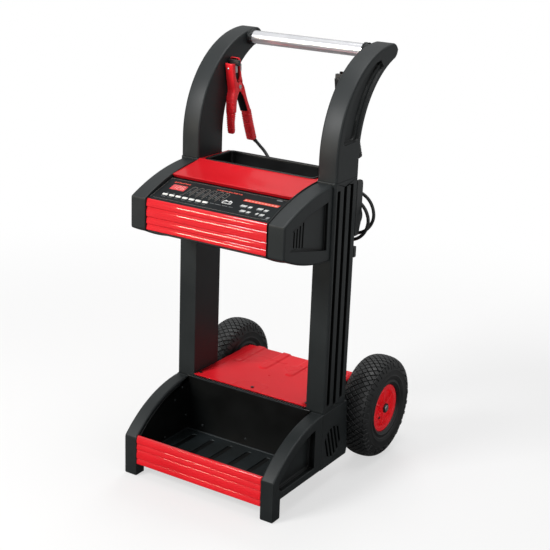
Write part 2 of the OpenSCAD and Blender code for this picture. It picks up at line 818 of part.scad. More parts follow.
// A peg that holds a coil of some layers, with a flange at its end.
module peg(x, z, layers, flange_d) {
    reach = layer_y - box_back + layers * turn_step + cord_d / 2 + 2;
    from_front() translate([x, box_back, z]) rotate([-90, 0, 0]) {
        cylinder(d = peg_d, h = reach);
        translate([0, 0, reach]) cylinder(d = flange_d, h = wall);
    }
}

module cord_hooks() color(black) {
    fin_t = 6;
    peg(peg_x, mains_peg_z, mains_layers, peg_d + 6);
    for (x = [red_coil_x, black_coil_x]) peg(x, lead_peg_z, 1, peg_d + 14);
    slab(half_w - fin_t, half_w) polygon([[post_back, 608], [327, 608], [331, 611], [340.5, 640],
        [340.5, 730], [337.6, 737], [330.5, 740], [post_back, 740]]);
    block([half_w - 8.5, half_w], [post_back, post_back + 10], [556, 582]);
}

gland_xs = [mains_coil_x - mains_coil_r, red_coil_x - lead_coil_r, black_coil_x - lead_coil_r];

module cord_glands() color(black) {
    low = coil_z + straight_end;
    nut = 18;
    for (x = gland_xs) {
        from_front() translate([x, layer_y, low]) cylinder(d1 = cord_d + 2, d2 = 14, h = boot_l);
        block([x - nut / 2, x + nut / 2], [box_back, layer_y + 8], [low + boot_l, low + boot_l + nut]);
    }
}

// ---- Clamps ----

lug_r = 11;
lever_free_r = 14.5;                  // room round the pivot for the other lever
spring_half = 4;
spring_r = 6.5;
inner_lug = 6.5;                      // half width of the body's lug, between the lever's ears
ear_play = 0.4;

// Jaw and handle that hang on the hook, as depth and height.
body_outline = [[clamp_grip_y, 979], [343, 978], [348, 969], [350, 945], [356.5, 924], [370.5, 894],
    [382.5, 868], [394.5, 848], [399, 841], [411.5, 808], [430, 767.5], [411, 763], [396, 803],
    [384, 838], [368, 874], [352, 896], [339, 922], [343.5, 935], [342, 946], [clamp_grip_y, 949]];
lever_grip_y = clamp_grip_y - tab_t - jaw_gap;
lever_outline = [[310.5, 966], [319, 966.5], [lever_grip_y, 962], [lever_grip_y, 946], [325.5, 933],
    [333, 921], [341, 896], [334, 880], [332, 860], [331, 812], [334.5, 798], [327, 792.5],
    [321.5, 819], [319, 850], [319, 881], [323.5, 900], [321.5, 912], [317, 932], [314, 949]];

// Collar at the foot of a clamp, where its lead goes in.
module ferrule() {
    sunk = 4;
    from_front() translate(ferrule_at)
        rotate([0, acos(ferrule_way[2] / norm(ferrule_way)), atan2(ferrule_way[1], ferrule_way[0])])
            translate([0, 0, -sunk]) cylinder(d = 13, h = ferrule_l + sunk);
}

module spring_room() across(clamp_x - spring_half - 0.2, pivot)
    cylinder(r = spring_r + 1.5, h = 2 * spring_half + 0.4);

module clamp_body() difference() {
    union() {
        difference() {
            slab(clamp_x - clamp_w / 2, clamp_x + clamp_w / 2) polygon(body_outline);
            across(clamp_x - clamp_w, pivot) cylinder(r = lever_free_r, h = 2 * clamp_w);
        }
        slab(clamp_x - inner_lug, clamp_x + inner_lug) polygon(body_outline);
        across(clamp_x - inner_lug, pivot) cylinder(r = lug_r, h = 2 * inner_lug);
        ferrule();
    }
    spring_room();
    across(0, pivot) cylinder(d = clamp_pin_d, h = far);
}

module clamp_lever() difference() {
    union() {
        slab(clamp_x - clamp_w / 2, clamp_x + clamp_w / 2) polygon(lever_outline);
        across(clamp_x - clamp_w / 2, pivot) cylinder(r = lug_r, h = clamp_w);
    }
    across(clamp_x - inner_lug - ear_play, pivot)
        cylinder(r = lever_free_r, h = 2 * (inner_lug + ear_play));
    across(0, pivot) cylinder(r = clamp_pin_d / 2 + 0.05, h = far);
}

module red_clamp_body() color(red) mirrored(-1) clamp_body();
module red_clamp_lever() color(red) mirrored(-1) clamp_lever();
module black_clamp_body() color(black) mirrored(1) clamp_body();
module black_clamp_lever() color(black) mirrored(1) clamp_lever();

module clamp_pins() color(steel) for (side = [-1, 1]) mirrored(side) {
    half = clamp_w / 2 + 0.3;
    head_t = 1.4;
    across(clamp_x - half, pivot) cylinder(d = clamp_pin_d, h = 2 * half);
    for (left = [clamp_x - half - head_t, clamp_x + half])
        across(left, pivot) cylinder(d = clamp_pin_d + 5, h = head_t);
}

module clamp_springs() color(steel) for (side = [-1, 1]) mirrored(side)
    across(clamp_x - spring_half, pivot) difference() {
        cylinder(r = spring_r, h = 2 * spring_half);
        translate([0, 0, -1]) cylinder(d = clamp_pin_d, h = 2 * spring_half + 2);
    }

// ---- Cords ----

module mains_cord_coil() color("#1a1b1c") coil("mains_cord_coil", mains_path());
module red_lead_coil() color("#1a1b1c")
    coil("red_lead_coil", coil_path(red_coil_x, lead_turns, lead_coil_r));
module black_lead_coil() color("#1a1b1c")
    coil("black_lead_coil", coil_path(black_coil_x, lead_turns, lead_coil_r));
module mains_cord_end() color("#1a1b1c") tube(mains_end_route, cord_d / 2, lead_sides);
module red_lead_end() color("#1a1b1c") tube(red_lead_route, cord_d / 2, lead_sides);
module black_lead_end() color("#1a1b1c") tube(black_lead_route, cord_d / 2, lead_sides);

module mains_plug() {
    body = [26, 19, 40];
    pin = [1.6, 6.4, 17];
    pin_gap = 12.7;
    from_front() translate(mains_end_route[3] - [0, 0, body[2]]) {
        color("#1a1b1c") translate([-body[0] / 2, -body[1] / 2, 0]) cube(body);
        color(steel) for (x = [-pin_gap / 2, pin_gap / 2])
            translate([x - pin[0] / 2, -pin[1] / 2, -pin[2]]) cube(pin);
    }
}

// ---- Fasteners ----

module screw(length) {
    cylinder(d = 8, h = 2.2, $fn = 32);
    translate([0, 0, -length]) cylinder(d = screw_d, h = length, $fn = 24);
}

module screws() color(steel) {
    for (s = deck_screws) from_front() translate([s[0], s[1], deck_z + sheet]) screw(8);
    for (s = cover_screws) from_front() translate([s[0], box_back, s[1]]) rotate([-90, 0, 0]) screw(6);
}

left_tray_side();
right_tray_side();
left_base_box();
right_base_box();
left_post();
right_post();
left_handle_arm();
right_handle_arm();
handle_bar();
bar_collars();
battery_tray();
tray_front_bar();
deck();
left_chassis_plate();
right_chassis_plate();
axle();
retaining_rings();
left_tyre();
left_rim();
right_tyre();
right_rim();
left_cheek();
right_cheek();
front_panel();
control_fascia();
display_window();
key_1();
key_2();
key_3();
key_4();
key_5();
key_6();
key_7();
top_cover();
tool_tray();
base_pan();
rear_cover();
fan_frame();
fan_rotor();
transformer_core();
transformer_coil();
heat_sink();
circuit_board();
clamp_hooks();
cord_hooks();
cord_glands();
red_clamp_body();
red_clamp_lever();
black_clamp_body();
black_clamp_lever();
clamp_pins();
clamp_springs();
mains_cord_coil();
mains_cord_end();
mains_plug();
red_lead_coil();
red_lead_end();
black_lead_coil();
black_lead_end();
screws();
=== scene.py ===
# Looks of a wheeled car battery charger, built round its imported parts.
import math

import bmesh
import bpy
import numpy as np
from mathutils import Matrix, Vector


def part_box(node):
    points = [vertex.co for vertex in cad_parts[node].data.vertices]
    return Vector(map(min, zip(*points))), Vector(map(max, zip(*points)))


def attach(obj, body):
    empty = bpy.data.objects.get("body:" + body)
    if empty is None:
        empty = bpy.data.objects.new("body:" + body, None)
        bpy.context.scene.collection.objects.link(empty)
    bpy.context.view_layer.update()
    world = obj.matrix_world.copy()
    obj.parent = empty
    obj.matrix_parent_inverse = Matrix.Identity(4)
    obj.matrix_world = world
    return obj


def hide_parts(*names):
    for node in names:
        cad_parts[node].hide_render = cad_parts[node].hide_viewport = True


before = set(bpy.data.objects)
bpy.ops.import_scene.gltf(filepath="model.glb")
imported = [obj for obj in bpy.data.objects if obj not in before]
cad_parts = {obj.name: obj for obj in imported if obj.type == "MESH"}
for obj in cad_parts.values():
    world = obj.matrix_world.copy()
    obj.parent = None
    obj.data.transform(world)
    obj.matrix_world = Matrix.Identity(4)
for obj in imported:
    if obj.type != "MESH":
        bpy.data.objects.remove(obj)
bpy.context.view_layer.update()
scene = bpy.context.scene
scene.view_settings.view_transform = "Standard"

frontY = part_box("left_tray_side")[0][1]  # front of the feet; depths are counted from it
sides = {"left": -1, "right": 1}


def place(points):
    # millimetres, with depth from the front of the feet, to metres in the frame
    return np.asarray(points, float) * 0.001 + np.array([0, frontY, 0])


# Camera: its place in mm, its angles in degrees, and the lens in mm with its shifts.
view = {"at": (1565.7, -2191.8, 1447.7), "azimuth": 32.73, "elevation": 18.08, "roll": 1.94,
        "lens": 83.76, "shiftX": 0.0277, "shiftY": -0.011}


def makeCamera(spec):
    # The way back to the camera, from the front round to the right and then up; roll turns it about that.
    a, e, roll = (math.radians(spec[k]) for k in ("azimuth", "elevation", "roll"))
    back = Vector((math.sin(a) * math.cos(e), -math.cos(a) * math.cos(e), math.sin(e)))
    right = Vector((0, 0, 1)).cross(back).normalized()
    up = back.cross(right)
    turned = Matrix((right * math.cos(roll) + up * math.sin(roll),
                     up * math.cos(roll) - right * math.sin(roll), back)).transposed()
    data = bpy.data.cameras.new("camera")
    data.lens, data.sensor_width = spec["lens"], 36
    data.shift_x, data.shift_y = spec["shiftX"], spec["shiftY"]
    data.clip_start, data.clip_end = 0.05, 200
    camera = bpy.data.objects.new("camera", data)
    camera.matrix_world = Matrix.Translation(Vector(place(spec["at"]))) @ turned.to_4x4()
    scene.collection.objects.link(camera)
    scene.camera = camera


makeCamera(view)
print("camera ready")


def gridFaces(rows, cols, wrapRows=False, wrapCols=False):
    # one quad for each cell of a grid of points that are counted row by row
    r = np.arange(rows if wrapRows else rows - 1)
    c = np.arange(cols if wrapCols else cols - 1)
    a, b = np.meshgrid(r, c, indexing="ij")
    a2, b2 = (a + 1) % rows, (b + 1) % cols
    return np.stack([a * cols + b, a * cols + b2, a2 * cols + b2, a2 * cols + b], -1).reshape(-1, 4)


def loft(rings, wrapRings=False):
    # closed rings of equal count, joined one to the next, with a flat face over each end
    rings = np.asarray(rings, float)
    n, m = rings.shape[:2]
    faces = [gridFaces(n, m, wrapRings, True)]
    if not wrapRings:
        faces += [np.arange(m)[None, ::-1], (n - 1) * m + np.arange(m)[None]]
    return rings.reshape(-1, 3), faces


def extruded(section, places):
    # one (depth, height) section carried across the cart from each x to the next
    section = np.asarray(section, float)
    return loft([np.column_stack([np.full(len(section), x), section]) for x in places])


def sheetGrid(points):
    # an open sheet over a grid of points
    points = np.asarray(points, float)
    return points.reshape(-1, 3), [gridFaces(*points.shape[:2])]


def outward(points, faces):
    # a closed skin's signed volume, a sum of tetrahedra from its middle, says which way it faces
    p = points - points.mean(0)
    volume = 0.0
    for f in faces:
        for k in range(1, f.shape[1] - 1):
            volume += np.einsum("ij,ij->", p[f[:, 0]], np.cross(p[f[:, k]], p[f[:, k + 1]]))
    return [f[:, ::-1] for f in faces] if volume < 0 else faces


def fillMesh(name, skins, closed=True):
    # all skins go into one mesh as flat lists: corners face by face, and the count of each face
    points, loops, sizes, count = [], [], [], 0
    for skin, faces in skins:
        for f in outward(skin, faces) if closed else faces:
            loops.append((f + count).ravel())
            sizes.append(np.full(len(f), f.shape[1]))
        points.append(skin)
        count += len(skin)
    points, loops, sizes = np.concatenate(points), np.concatenate(loops), np.concatenate(sizes)
    mesh = bpy.data.meshes.new(name)
    mesh.vertices.add(len(points))
    mesh.vertices.foreach_set("co", place(points).astype(np.float32).ravel())
    mesh.loops.add(len(loops))
    mesh.loops.foreach_set("vertex_index", loops.astype(np.int32))
    mesh.polygons.add(len(sizes))
    mesh.polygons.foreach_set("loop_start", np.concatenate([[0], np.cumsum(sizes)[:-1]]).astype(np.int32))
    mesh.polygons.foreach_set("loop_total", sizes.astype(np.int32))
    mesh.update(calc_edges=True)
    mesh.validate()
    return mesh


sharpAngle = 38  # degrees between two faces, past which their edge stays sharp


def finishPiece(name, mesh, material, body="cart", slot=None, replaces=(), sharp=sharpAngle):
    # smooth shading, sharp past an angle in degrees; the piece rides on its body
    mesh.shade_smooth()
    mesh.set_sharp_from_angle(angle=math.radians(sharp))
    piece = bpy.data.objects.new(name, mesh)
    scene.collection.objects.link(piece)
    mesh.materials.append(material)
    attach(piece, body)
    if replaces:
        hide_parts(*replaces)
    return piece


def makePiece(name, skins, material, closed=True, **rest):
    # one piece from one or more skins
    return finishPiece(name, fillMesh(name, skins, closed), material, **rest)


def solidify(piece, thickMm):
    # a wall on the side that the sheet's normals point away from
    wall = piece.modifiers.new("wall", "SOLIDIFY")
    wall.thickness, wall.offset = thickMm * 0.001, -1
    wall.use_even_offset = True


def roundEdges(piece, widthMm, segments=3, limit="ANGLE"):
    # a bevel along the edges, as a rule those past the sharp angle, with flat faces evenly shaded
    bevel = piece.modifiers.new("rounded edges", "BEVEL")
    bevel.width, bevel.segments = widthMm * 0.001, segments
    bevel.limit_method, bevel.angle_limit = limit, math.radians(sharpAngle)
    bevel.use_clamp_overlap = limit == "ANGLE"
    even = piece.modifiers.new("even flats", "WEIGHTED_NORMAL")
    even.keep_sharp, even.weight = True, 60


# How a part's edges are told apart: lengths in metres, the corner in degrees, the seam's radius in mm,
# and the share of the part's width that its outer side walls span.
rounding = {"merge": 4e-6, "corner": 30, "span": 0.55, "onSeam": 3e-4, "seamMm": 2}


def roundedCopy(node, material, big, fine=None, seams=(), body="cart", slot=None, moved=None):
    # A merged copy of a part. Edges whose side wall runs through most of the part's width get the big
    # radius, edges that lie on a seam the seam's, and edges of recesses and slots the fine one.
    fine = fine or big
    shell = bmesh.new()
    shell.from_mesh(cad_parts[node].data)
    bmesh.ops.remove_doubles(shell, verts=shell.verts, dist=rounding["merge"])
    weights = shell.edges.layers.float.new("bevel_weight_edge")
    whole = max(v.co.x for v in shell.verts) - min(v.co.x for v in shell.verts)
    reach = {f: max(v.co.x for v in f.verts) - min(v.co.x for v in f.verts) for f in shell.faces}
    for edge in shell.edges:
        if len(edge.link_faces) != 2 or edge.calc_face_angle(0) < math.radians(rounding["corner"]):
            continue
        outer = max(reach[f] for f in edge.link_faces) > rounding["span"] * whole
        onSeam = any(all(abs(v.co[k] - at) < rounding["onSeam"] for v in edge.verts) for k, at in seams)
        if onSeam and big > rounding["seamMm"]:
            edge[weights] = rounding["seamMm"] / big
        else:
            edge[weights] = 1 if outer else fine / big
    mesh = bpy.data.meshes.new(node + "Skin")
    shell.to_mesh(mesh)
    shell.free()
    if moved:
        points = np.empty(len(mesh.vertices) * 3, np.float32)
        mesh.vertices.foreach_get("co", points)
        mesh.vertices.foreach_set("co", moved(points.reshape(-1, 3)).ravel())
        mesh.update()
    roundEdges(finishPiece(node + "Skin", mesh, material, body, slot, (node,)), big, limit="WEIGHT")


# Points of shapes, in millimetres.


def arc(centre, radius, start, stop, steps):
    # points at equal angles, in degrees, on a circle
    a = np.radians(np.linspace(start, stop, steps))
    return np.stack([centre[0] + radius * np.cos(a), centre[1] + radius * np.sin(a)], -1)


def roundedLoop(halfW, halfH, radius, steps=6):
    # a rectangle whose corners are quarter circles, counter-clockwise
    corners = [((halfW - radius) * sx, (halfH - radius) * sy, start)
               for sx, sy, start in ((1, 1, 0), (-1, 1, 90), (-1, -1, 180), (1, -1, 270))]
    return np.concatenate([arc((x, y), radius, start, start + 90, steps) for x, y, start in corners])


def smooth(value, low, high):
    # 0 below low, 1 above high, with an even slope at both ends between
    t = np.clip((np.asarray(value, float) - low) / (high - low), 0, 1)
    return t * t * (3 - 2 * t)


def alongPath(path, samples):
    # even steps along a polyline, rounded by a cubic through its points
    path = np.asarray(path, float)
    way = np.concatenate([[0], np.cumsum(np.linalg.norm(np.diff(path, axis=0), axis=1))])
    tangent = np.gradient(path, way, axis=0)
    s = np.linspace(0, way[-1], samples)
    i = np.clip(np.searchsorted(way, s, "right") - 1, 0, len(way) - 2)
    h = (way[i + 1] - way[i])[:, None]
    t = ((s - way[i])[:, None]) / h
    return ((2 * t**3 - 3 * t**2 + 1) * path[i] + (t**3 - 2 * t**2 + t) * h * tangent[i]
            + (3 * t**2 - 2 * t**3) * path[i + 1] + (t**3 - t**2) * h * tangent[i + 1])


def tubeRings(path, radius, sides=12):
    # circles square to a path, each frame carried on from the one before without twist
    path = np.asarray(path, float)
    way = np.gradient(path, axis=0)
    way /= np.linalg.norm(way, axis=1)[:, None]
    out = np.cross(way[0], [0.3, 0.8, 0.52])  # any direction that no path here starts along
    frames = []
    for w in way:
        out = out - (out @ w) * w
        out /= np.linalg.norm(out)
        frames.append((out, np.cross(w, out)))
    a = np.linspace(0, 2 * np.pi, sides, endpoint=False)[None, :, None]
    u, v = np.array(frames).transpose(1, 0, 2)[:, :, None]
    radius = np.broadcast_to(np.asarray(radius, float), len(path))[:, None, None]
    return path[:, None] + radius * (np.cos(a) * u + np.sin(a) * v)


def turned(profile, axisPoint, axis, steps=48, wrap=True):
    # a profile of (radius, way along the axis) carried round the axis through a point
    profile = np.asarray(profile, float)
    a = np.linspace(0, 2 * np.pi, steps, endpoint=False)
    radius, along = profile[:, 0][:, None], np.broadcast_to(profile[:, 1][:, None], (len(profile), steps))
    c, s = radius * np.cos(a), radius * np.sin(a)
    order = {"x": (along, c, s), "y": (s, along, c)}[axis]
    return loft(np.stack(order, -1) + np.asarray(axisPoint, float), wrap)


print("helpers ready")


def hexColour(code):
    # sRGB hex to linear light
    srgb = np.array([int(code[i:i + 2], 16) / 255 for i in (1, 3, 5)])
    linear = np.where(srgb <= 0.04045, srgb / 12.92, ((srgb + 0.055) / 1.055) ** 2.4)
    return (*linear.tolist(), 1)


def perMetre(sizeMm):
    # a texture's scale: how often a size in mm fits in a metre
    return 1000 / sizeMm


def addNode(tree, kind, inputs=(), **settings):
    # one shader node; an input that is a socket is linked, any other is set as a value
    node = tree.nodes.new("ShaderNode" + kind)
    for key, value in settings.items():
        setattr(node, key, value)
    for socket, value in dict(inputs).items():
        if isinstance(value, bpy.types.NodeSocket):
            tree.links.new(value, node.inputs[socket])
        else:
            node.inputs[socket].default_value = value
    return node


def makeMaterial(name, look):
    # Two tones drift into each other, roughness drifts with them, and each grain is a bump over the last.
    material = bpy.data.materials.new(name)
    material.use_nodes = True
    tree = material.node_tree
    tree.nodes.clear()
    where = addNode(tree, "TexCoord").outputs["Object"]
    drift = addNode(tree, "TexNoise", {"Vector": where, "Scale": perMetre(look["driftMm"]), "Detail": 3})
    spread = addNode(tree, "MapRange", {0: drift.outputs[0], 1: 0.35, 2: 0.65, 3: 0, 4: 1})
    dark, light = (hexColour(tone) for tone in look["tones"])
    colour = addNode(tree, "Mix", {0: spread.outputs[0], 6: dark, 7: light}, data_type="RGBA").outputs[2]
    rough = addNode(tree, "MapRange", {0: drift.outputs[0], 1: 0.3, 2: 0.7, 3: look["rough"][0],
                                       4: look["rough"][1]})
    normal = None
    # painted shade: where ambient occlusion finds a recess or slot, the colour is mixed towards a darker tone
    if "cavityShade" in look:  # recesses and slots go darker, as their walls see little of the room
        cavityShade = look["cavityShade"]
        openness = addNode(tree, "AmbientOcclusion", {"Distance": cavityShade["reachMm"] * 0.001}, samples=8,
                           only_local=True)
        bare = addNode(tree, "MapRange", {0: openness.outputs["AO"], 1: cavityShade["from"], 2: 0.98, 3: 0, 4: 1})
        colour = addNode(tree, "Mix", {0: bare.outputs[0], 6: hexColour(cavityShade["dark"]), 7: colour},
                         data_type="RGBA").outputs[2]
    if "lines" in look:  # fine lines across one axis, such as drawing marks, laminations or wire
        lines = look["lines"]
        # at scale 1 the wave repeats every 0.314 m
        wave = addNode(tree, "TexWave", {"Vector": where, "Scale": 0.314 * perMetre(lines["pitchMm"]),
                                         "Distortion": 0, "Detail": 1},
                       bands_direction=lines["axis"], wave_profile="SIN")
        if "dark" in lines:
            colour = addNode(tree, "Mix", {0: wave.outputs[1], 6: hexColour(lines["dark"]), 7: colour},
                             data_type="RGBA").outputs[2]
        normal = addNode(tree, "Bump", {"Strength": lines["strength"], "Distance": lines["deepMm"] * 0.001,
                                        "Height": wave.outputs[1]}).outputs[0]
    for sizeMm, strength, deepMm in look.get("grains", ()):
        noise = addNode(tree, "TexNoise", {"Vector": where, "Scale": perMetre(sizeMm), "Detail": 2})
        bump = addNode(tree, "Bump", {"Strength": strength, "Distance": deepMm * 0.001,
                                      "Height": noise.outputs[0]})
        if normal:
            tree.links.new(normal, bump.inputs["Normal"])
        normal = bump.outputs[0]
    skin = addNode(tree, "BsdfPrincipled", {"Base Color": colour, "Roughness": rough.outputs[0],
                                            **look.get("sockets", {})})
    if normal:
        tree.links.new(normal, skin.inputs["Normal"])
    addNode(tree, "OutputMaterial", {"Surface": skin.outputs[0]})
    return material


# A look is two tones and how far apart in mm they drift, the range of its roughness, grains as (size in
# mm, strength, depth in mm) and other sockets of the shader. A grain too fine to show at this distance is
# drawn coarser than the real one, at about 1 mm.

# Blow-moulded polyethylene with a spark-eroded grain: soft, wide highlights on near black, and painted shade
# that darkens its recesses.
frameBlack = makeMaterial("blow moulded polyethylene", {
    "tones": ("#1b1f20", "#212526"), "driftMm": 90, "rough": (0.42, 0.5),
    "cavityShade": {"reachMm": 30, "from": 0.62, "dark": "#020303"}, "grains": [(1.1, 0.22, 0.12)],
    "sockets": {"IOR": 1.5, "Specular IOR Level": 0.3}})

# Vacuum-formed ABS tub: darker and a little glossier than the frame, with a fine leather grain.
tubLook = {"tones": ("#060707", "#0a0c0c"), "driftMm": 70, "rough": (0.34, 0.44),
           "grains": [(2.2, 0.16, 0.1)],
           "sockets": {"IOR": 1.53, "Specular IOR Level": 0.25}}
tubBlack = makeMaterial("vacuum formed ABS", tubLook)

# The tub's floor is the same sheet, painted a touch paler and greyer as painted light for the light it
# catches facing up.
tubFloorLit = makeMaterial("vacuum formed ABS floor", {**tubLook, "tones": ("#171c1d", "#1e2426")})
# Black-painted rivets and the moulded strip on the tub's rim: dark grey.
tubRivet = makeMaterial("blackened rivet", {**tubLook, "tones": ("#202426", "#2a2f31"), "driftMm": 3})

# Polyester powder coat on steel sheet, sprayed and baked: an even red with a faint orange peel and
# little gloss.
powderRedLook = {"tones": ("#dc1c26", "#e5212c"), "driftMm": 160, "rough": (0.26, 0.34),
                 "grains": [(3.5, 0.05, 0.08)],
                 "sockets": {"IOR": 1.5, "Specular IOR Level": 0.1, "Coat Weight": 0.05,
                             "Coat Roughness": 0.08}}
powderRed = makeMaterial("red powder coat", powderRedLook)
# The same coat on the folded cover, its red painted deeper than the deck's as painted shade, under more
# gloss; painted shade also darkens its creases.
foldedRedShaded = makeMaterial("red powder coat in folds", {
    **powderRedLook, "tones": ("#c2161f", "#cb1a24"),
    "cavityShade": {"reachMm": 16, "from": 0.6, "dark": "#5e060c"},
    "sockets": {"IOR": 1.5, "Specular IOR Level": 0.1, "Coat Weight": 0.3, "Coat Roughness": 0.07}})

# Wet-painted aluminium extrusion: glossy red, with the faintest waviness in what it mirrors.
barRed = makeMaterial("painted aluminium extrusion", {
    "tones": ("#cd1620", "#d81b25"), "driftMm": 120, "rough": (0.2, 0.27),
    "grains": [(2.4, 0.012, 0.05)],
    "sockets": {"IOR": 1.5, "Specular IOR Level": 0.1, "Coat Weight": 0.8, "Coat Roughness": 0.05}})

# Chrome plate on drawn steel tube: bright, with soft reflections.
chromePlate = makeMaterial("chrome plate", {
    "tones": ("#cfd0d4", "#dcdde0"), "driftMm": 60, "rough": (0.2, 0.24), "grains": [(0.9, 0.01, 0.01)],
    "sockets": {"Metallic": 0.7}})

# Zinc-plated steel of rivets, screws and springs: dull bright, slightly clouded.
zincPlate = makeMaterial("zinc plated steel", {
    "tones": ("#a9abac", "#c9cbcc"), "driftMm": 4, "rough": (0.25, 0.38), "grains": [(0.6, 0.08, 0.03)],
    "sockets": {"Metallic": 1}})

# Black oxide on steel screws: oily dark grey.
blackOxide = makeMaterial("black oxide steel", {
    "tones": ("#17191b", "#24272a"), "driftMm": 3, "rough": (0.3, 0.42), "grains": [(0.5, 0.1, 0.03)],
    "sockets": {"Metallic": 0.6}})

# Vulcanised tyre rubber: near black, with a satin sheen that catches on the lugs.
tyreRubber = makeMaterial("vulcanised rubber", {
    "tones": ("#0c0e0f", "#17191a"), "driftMm": 24, "rough": (0.42, 0.56), "grains": [(1.0, 0.3, 0.15),
    (6, 0.15, 0.3)], "sockets": {"IOR": 1.5, "Specular IOR Level": 0.55}})

# Injection-moulded polypropylene of the rims: bright red with a soft gloss.
rimRed = makeMaterial("moulded polypropylene", {
    "tones": ("#ee1f2a", "#f5252f"), "driftMm": 40, "rough": (0.3, 0.4), "grains": [(1.4, 0.06, 0.06)],
    "sockets": {"IOR": 1.49, "Specular IOR Level": 0.15}})

# Screen-printed polyester overlay on the control panel: flat near black with a velvet texture.
overlayFilm = makeMaterial("polyester overlay", {
    "tones": ("#181b1d", "#1d2122"), "driftMm": 60, "rough": (0.4, 0.46), "grains": [(0.7, 0.08, 0.04)],
    "sockets": {"IOR": 1.57, "Specular IOR Level": 0.05}})

# Acrylic window, tinted red: glossy.
redAcrylic = makeMaterial("tinted acrylic", {
    "tones": ("#c92b31", "#d5363c"), "driftMm": 20, "rough": (0.08, 0.14), "grains": [(5, 0.02, 0.03)],
    "sockets": {"IOR": 1.49, "Coat Weight": 0.5, "Coat Roughness": 0.03}})

# Silk-screen inks: thin, matt, slightly uneven in tone.
inkLook = {"driftMm": 5, "rough": (0.5, 0.6), "grains": [(0.5, 0.1, 0.02)]}
whiteInk = makeMaterial("white screen ink", {**inkLook, "tones": ("#d6d8d8", "#e6e7e6")})
greyInk = makeMaterial("grey screen ink", {**inkLook, "tones": ("#6d7072", "#808385")})
brownInk = makeMaterial("brown screen ink", {**inkLook, "tones": ("#857b77", "#968c84")})
redInk = makeMaterial("red screen ink", {**inkLook, "tones": ("#c8402f", "#dd4c39")})
paleInk = makeMaterial("pale screen ink", {**inkLook, "tones": ("#d98f84", "#e4a399")})

# Silicone keys: off-white, matt and slightly waxy.
keySilicone = makeMaterial("moulded silicone", {
    "tones": ("#d9dad7", "#e6e6e2"), "driftMm": 8, "rough": (0.45, 0.55), "grains": [(0.6, 0.08, 0.03)],
    "sockets": {"IOR": 1.41}})

# Black powder coat on chassis steel: satin with orange peel.
powderBlack = makeMaterial("black powder coat", {
    "tones": ("#17191a", "#1e2122"), "driftMm": 80, "rough": (0.36, 0.46),
    "grains": [(2.6, 0.12, 0.08)], "sockets": {"IOR": 1.5}})

# Stacked silicon steel of the transformer core: thin laminations seen as lines.
coreSteel = makeMaterial("laminated silicon steel", {
    "tones": ("#7f8386", "#979b9d"), "driftMm": 20, "rough": (0.4, 0.55),
    "lines": {"axis": "Y", "pitchMm": 1.0, "strength": 0.5, "deepMm": 0.2, "dark": "#55595c"},
    "grains": [(1, 0.1, 0.05)], "sockets": {"Metallic": 0.9}})

# Enamelled copper wire wound side by side: glossy brown ridges.
copperWire = makeMaterial("enamelled copper wire", {
    "tones": ("#9a4f22", "#b8652f"), "driftMm": 12, "rough": (0.22, 0.32),
    "lines": {"axis": "Z", "pitchMm": 1.6, "strength": 0.9, "deepMm": 0.6, "dark": "#5d2c12"},
    "sockets": {"Metallic": 0.85}})

# Bare aluminium extrusion of the heat sink: pale with drawing lines.
sinkAluminium = makeMaterial("extruded aluminium", {
    "tones": ("#b9bcbf", "#cdd0d2"), "driftMm": 30, "rough": (0.3, 0.42),
    "lines": {"axis": "Z", "pitchMm": 0.8, "strength": 0.25, "deepMm": 0.05}, "sockets": {"Metallic": 1}})

# Glass-epoxy board under green solder mask: glossy, with the weave just showing.
boardGreen = makeMaterial("green solder mask", {
    "tones": ("#1d5a35", "#2c7547"), "driftMm": 3, "rough": (0.25, 0.35), "grains": [(0.8, 0.1, 0.03)],
    "sockets": {"IOR": 1.55}})

# Glass-filled nylon of the fan: grey black and even.
fanNylon = makeMaterial("glass filled nylon", {
    "tones": ("#2b2e30", "#36393b"), "driftMm": 25, "rough": (0.4, 0.5), "grains": [(0.9, 0.12, 0.05)]})

# Plastisol-dipped clamp handles: thick, soft red or black skin with a wet-looking sheen.
dipLook = {"driftMm": 30, "rough": (0.28, 0.38), "grains": [(3, 0.08, 0.15)],
           "sockets": {"IOR": 1.52, "Specular IOR Level": 0.25, "Coat Weight": 0.15, "Coat Roughness": 0.15}}
dipRed = makeMaterial("red plastisol", {**dipLook, "tones": ("#e8222b", "#f52e38")})
dipBlack = makeMaterial("black plastisol", {**dipLook, "tones": ("#141617", "#1d2021")})

# Tinned sheet copper of the jaws' teeth: pale, warm where the copper shows through.
toothCopper = makeMaterial("tinned copper", {
    "tones": ("#b0907c", "#d3bcae"), "driftMm": 5, "rough": (0.22, 0.34),
    "grains": [(0.7, 0.1, 0.03)], "sockets": {"Metallic": 1}})

# Thermoset rubber jacket of the cords: matt black with a faint skin texture.
jacketLook = {"tones": ("#121414", "#1b1d1d"), "driftMm": 18, "rough": (0.42, 0.55),
              "grains": [(0.9, 0.12, 0.05)], "sockets": {"IOR": 1.5}}
jacketRubber = makeMaterial("cord jacket rubber", jacketLook)
# The same rubber moulded into the boots, painted deeper black as painted shade, and nearly without gloss.
bootRubberShaded = makeMaterial("moulded boot rubber", {**jacketLook, "tones": ("#030404", "#070808"),
                                                   "sockets": {"IOR": 1.5, "Specular IOR Level": 0.15}})
print("materials ready")

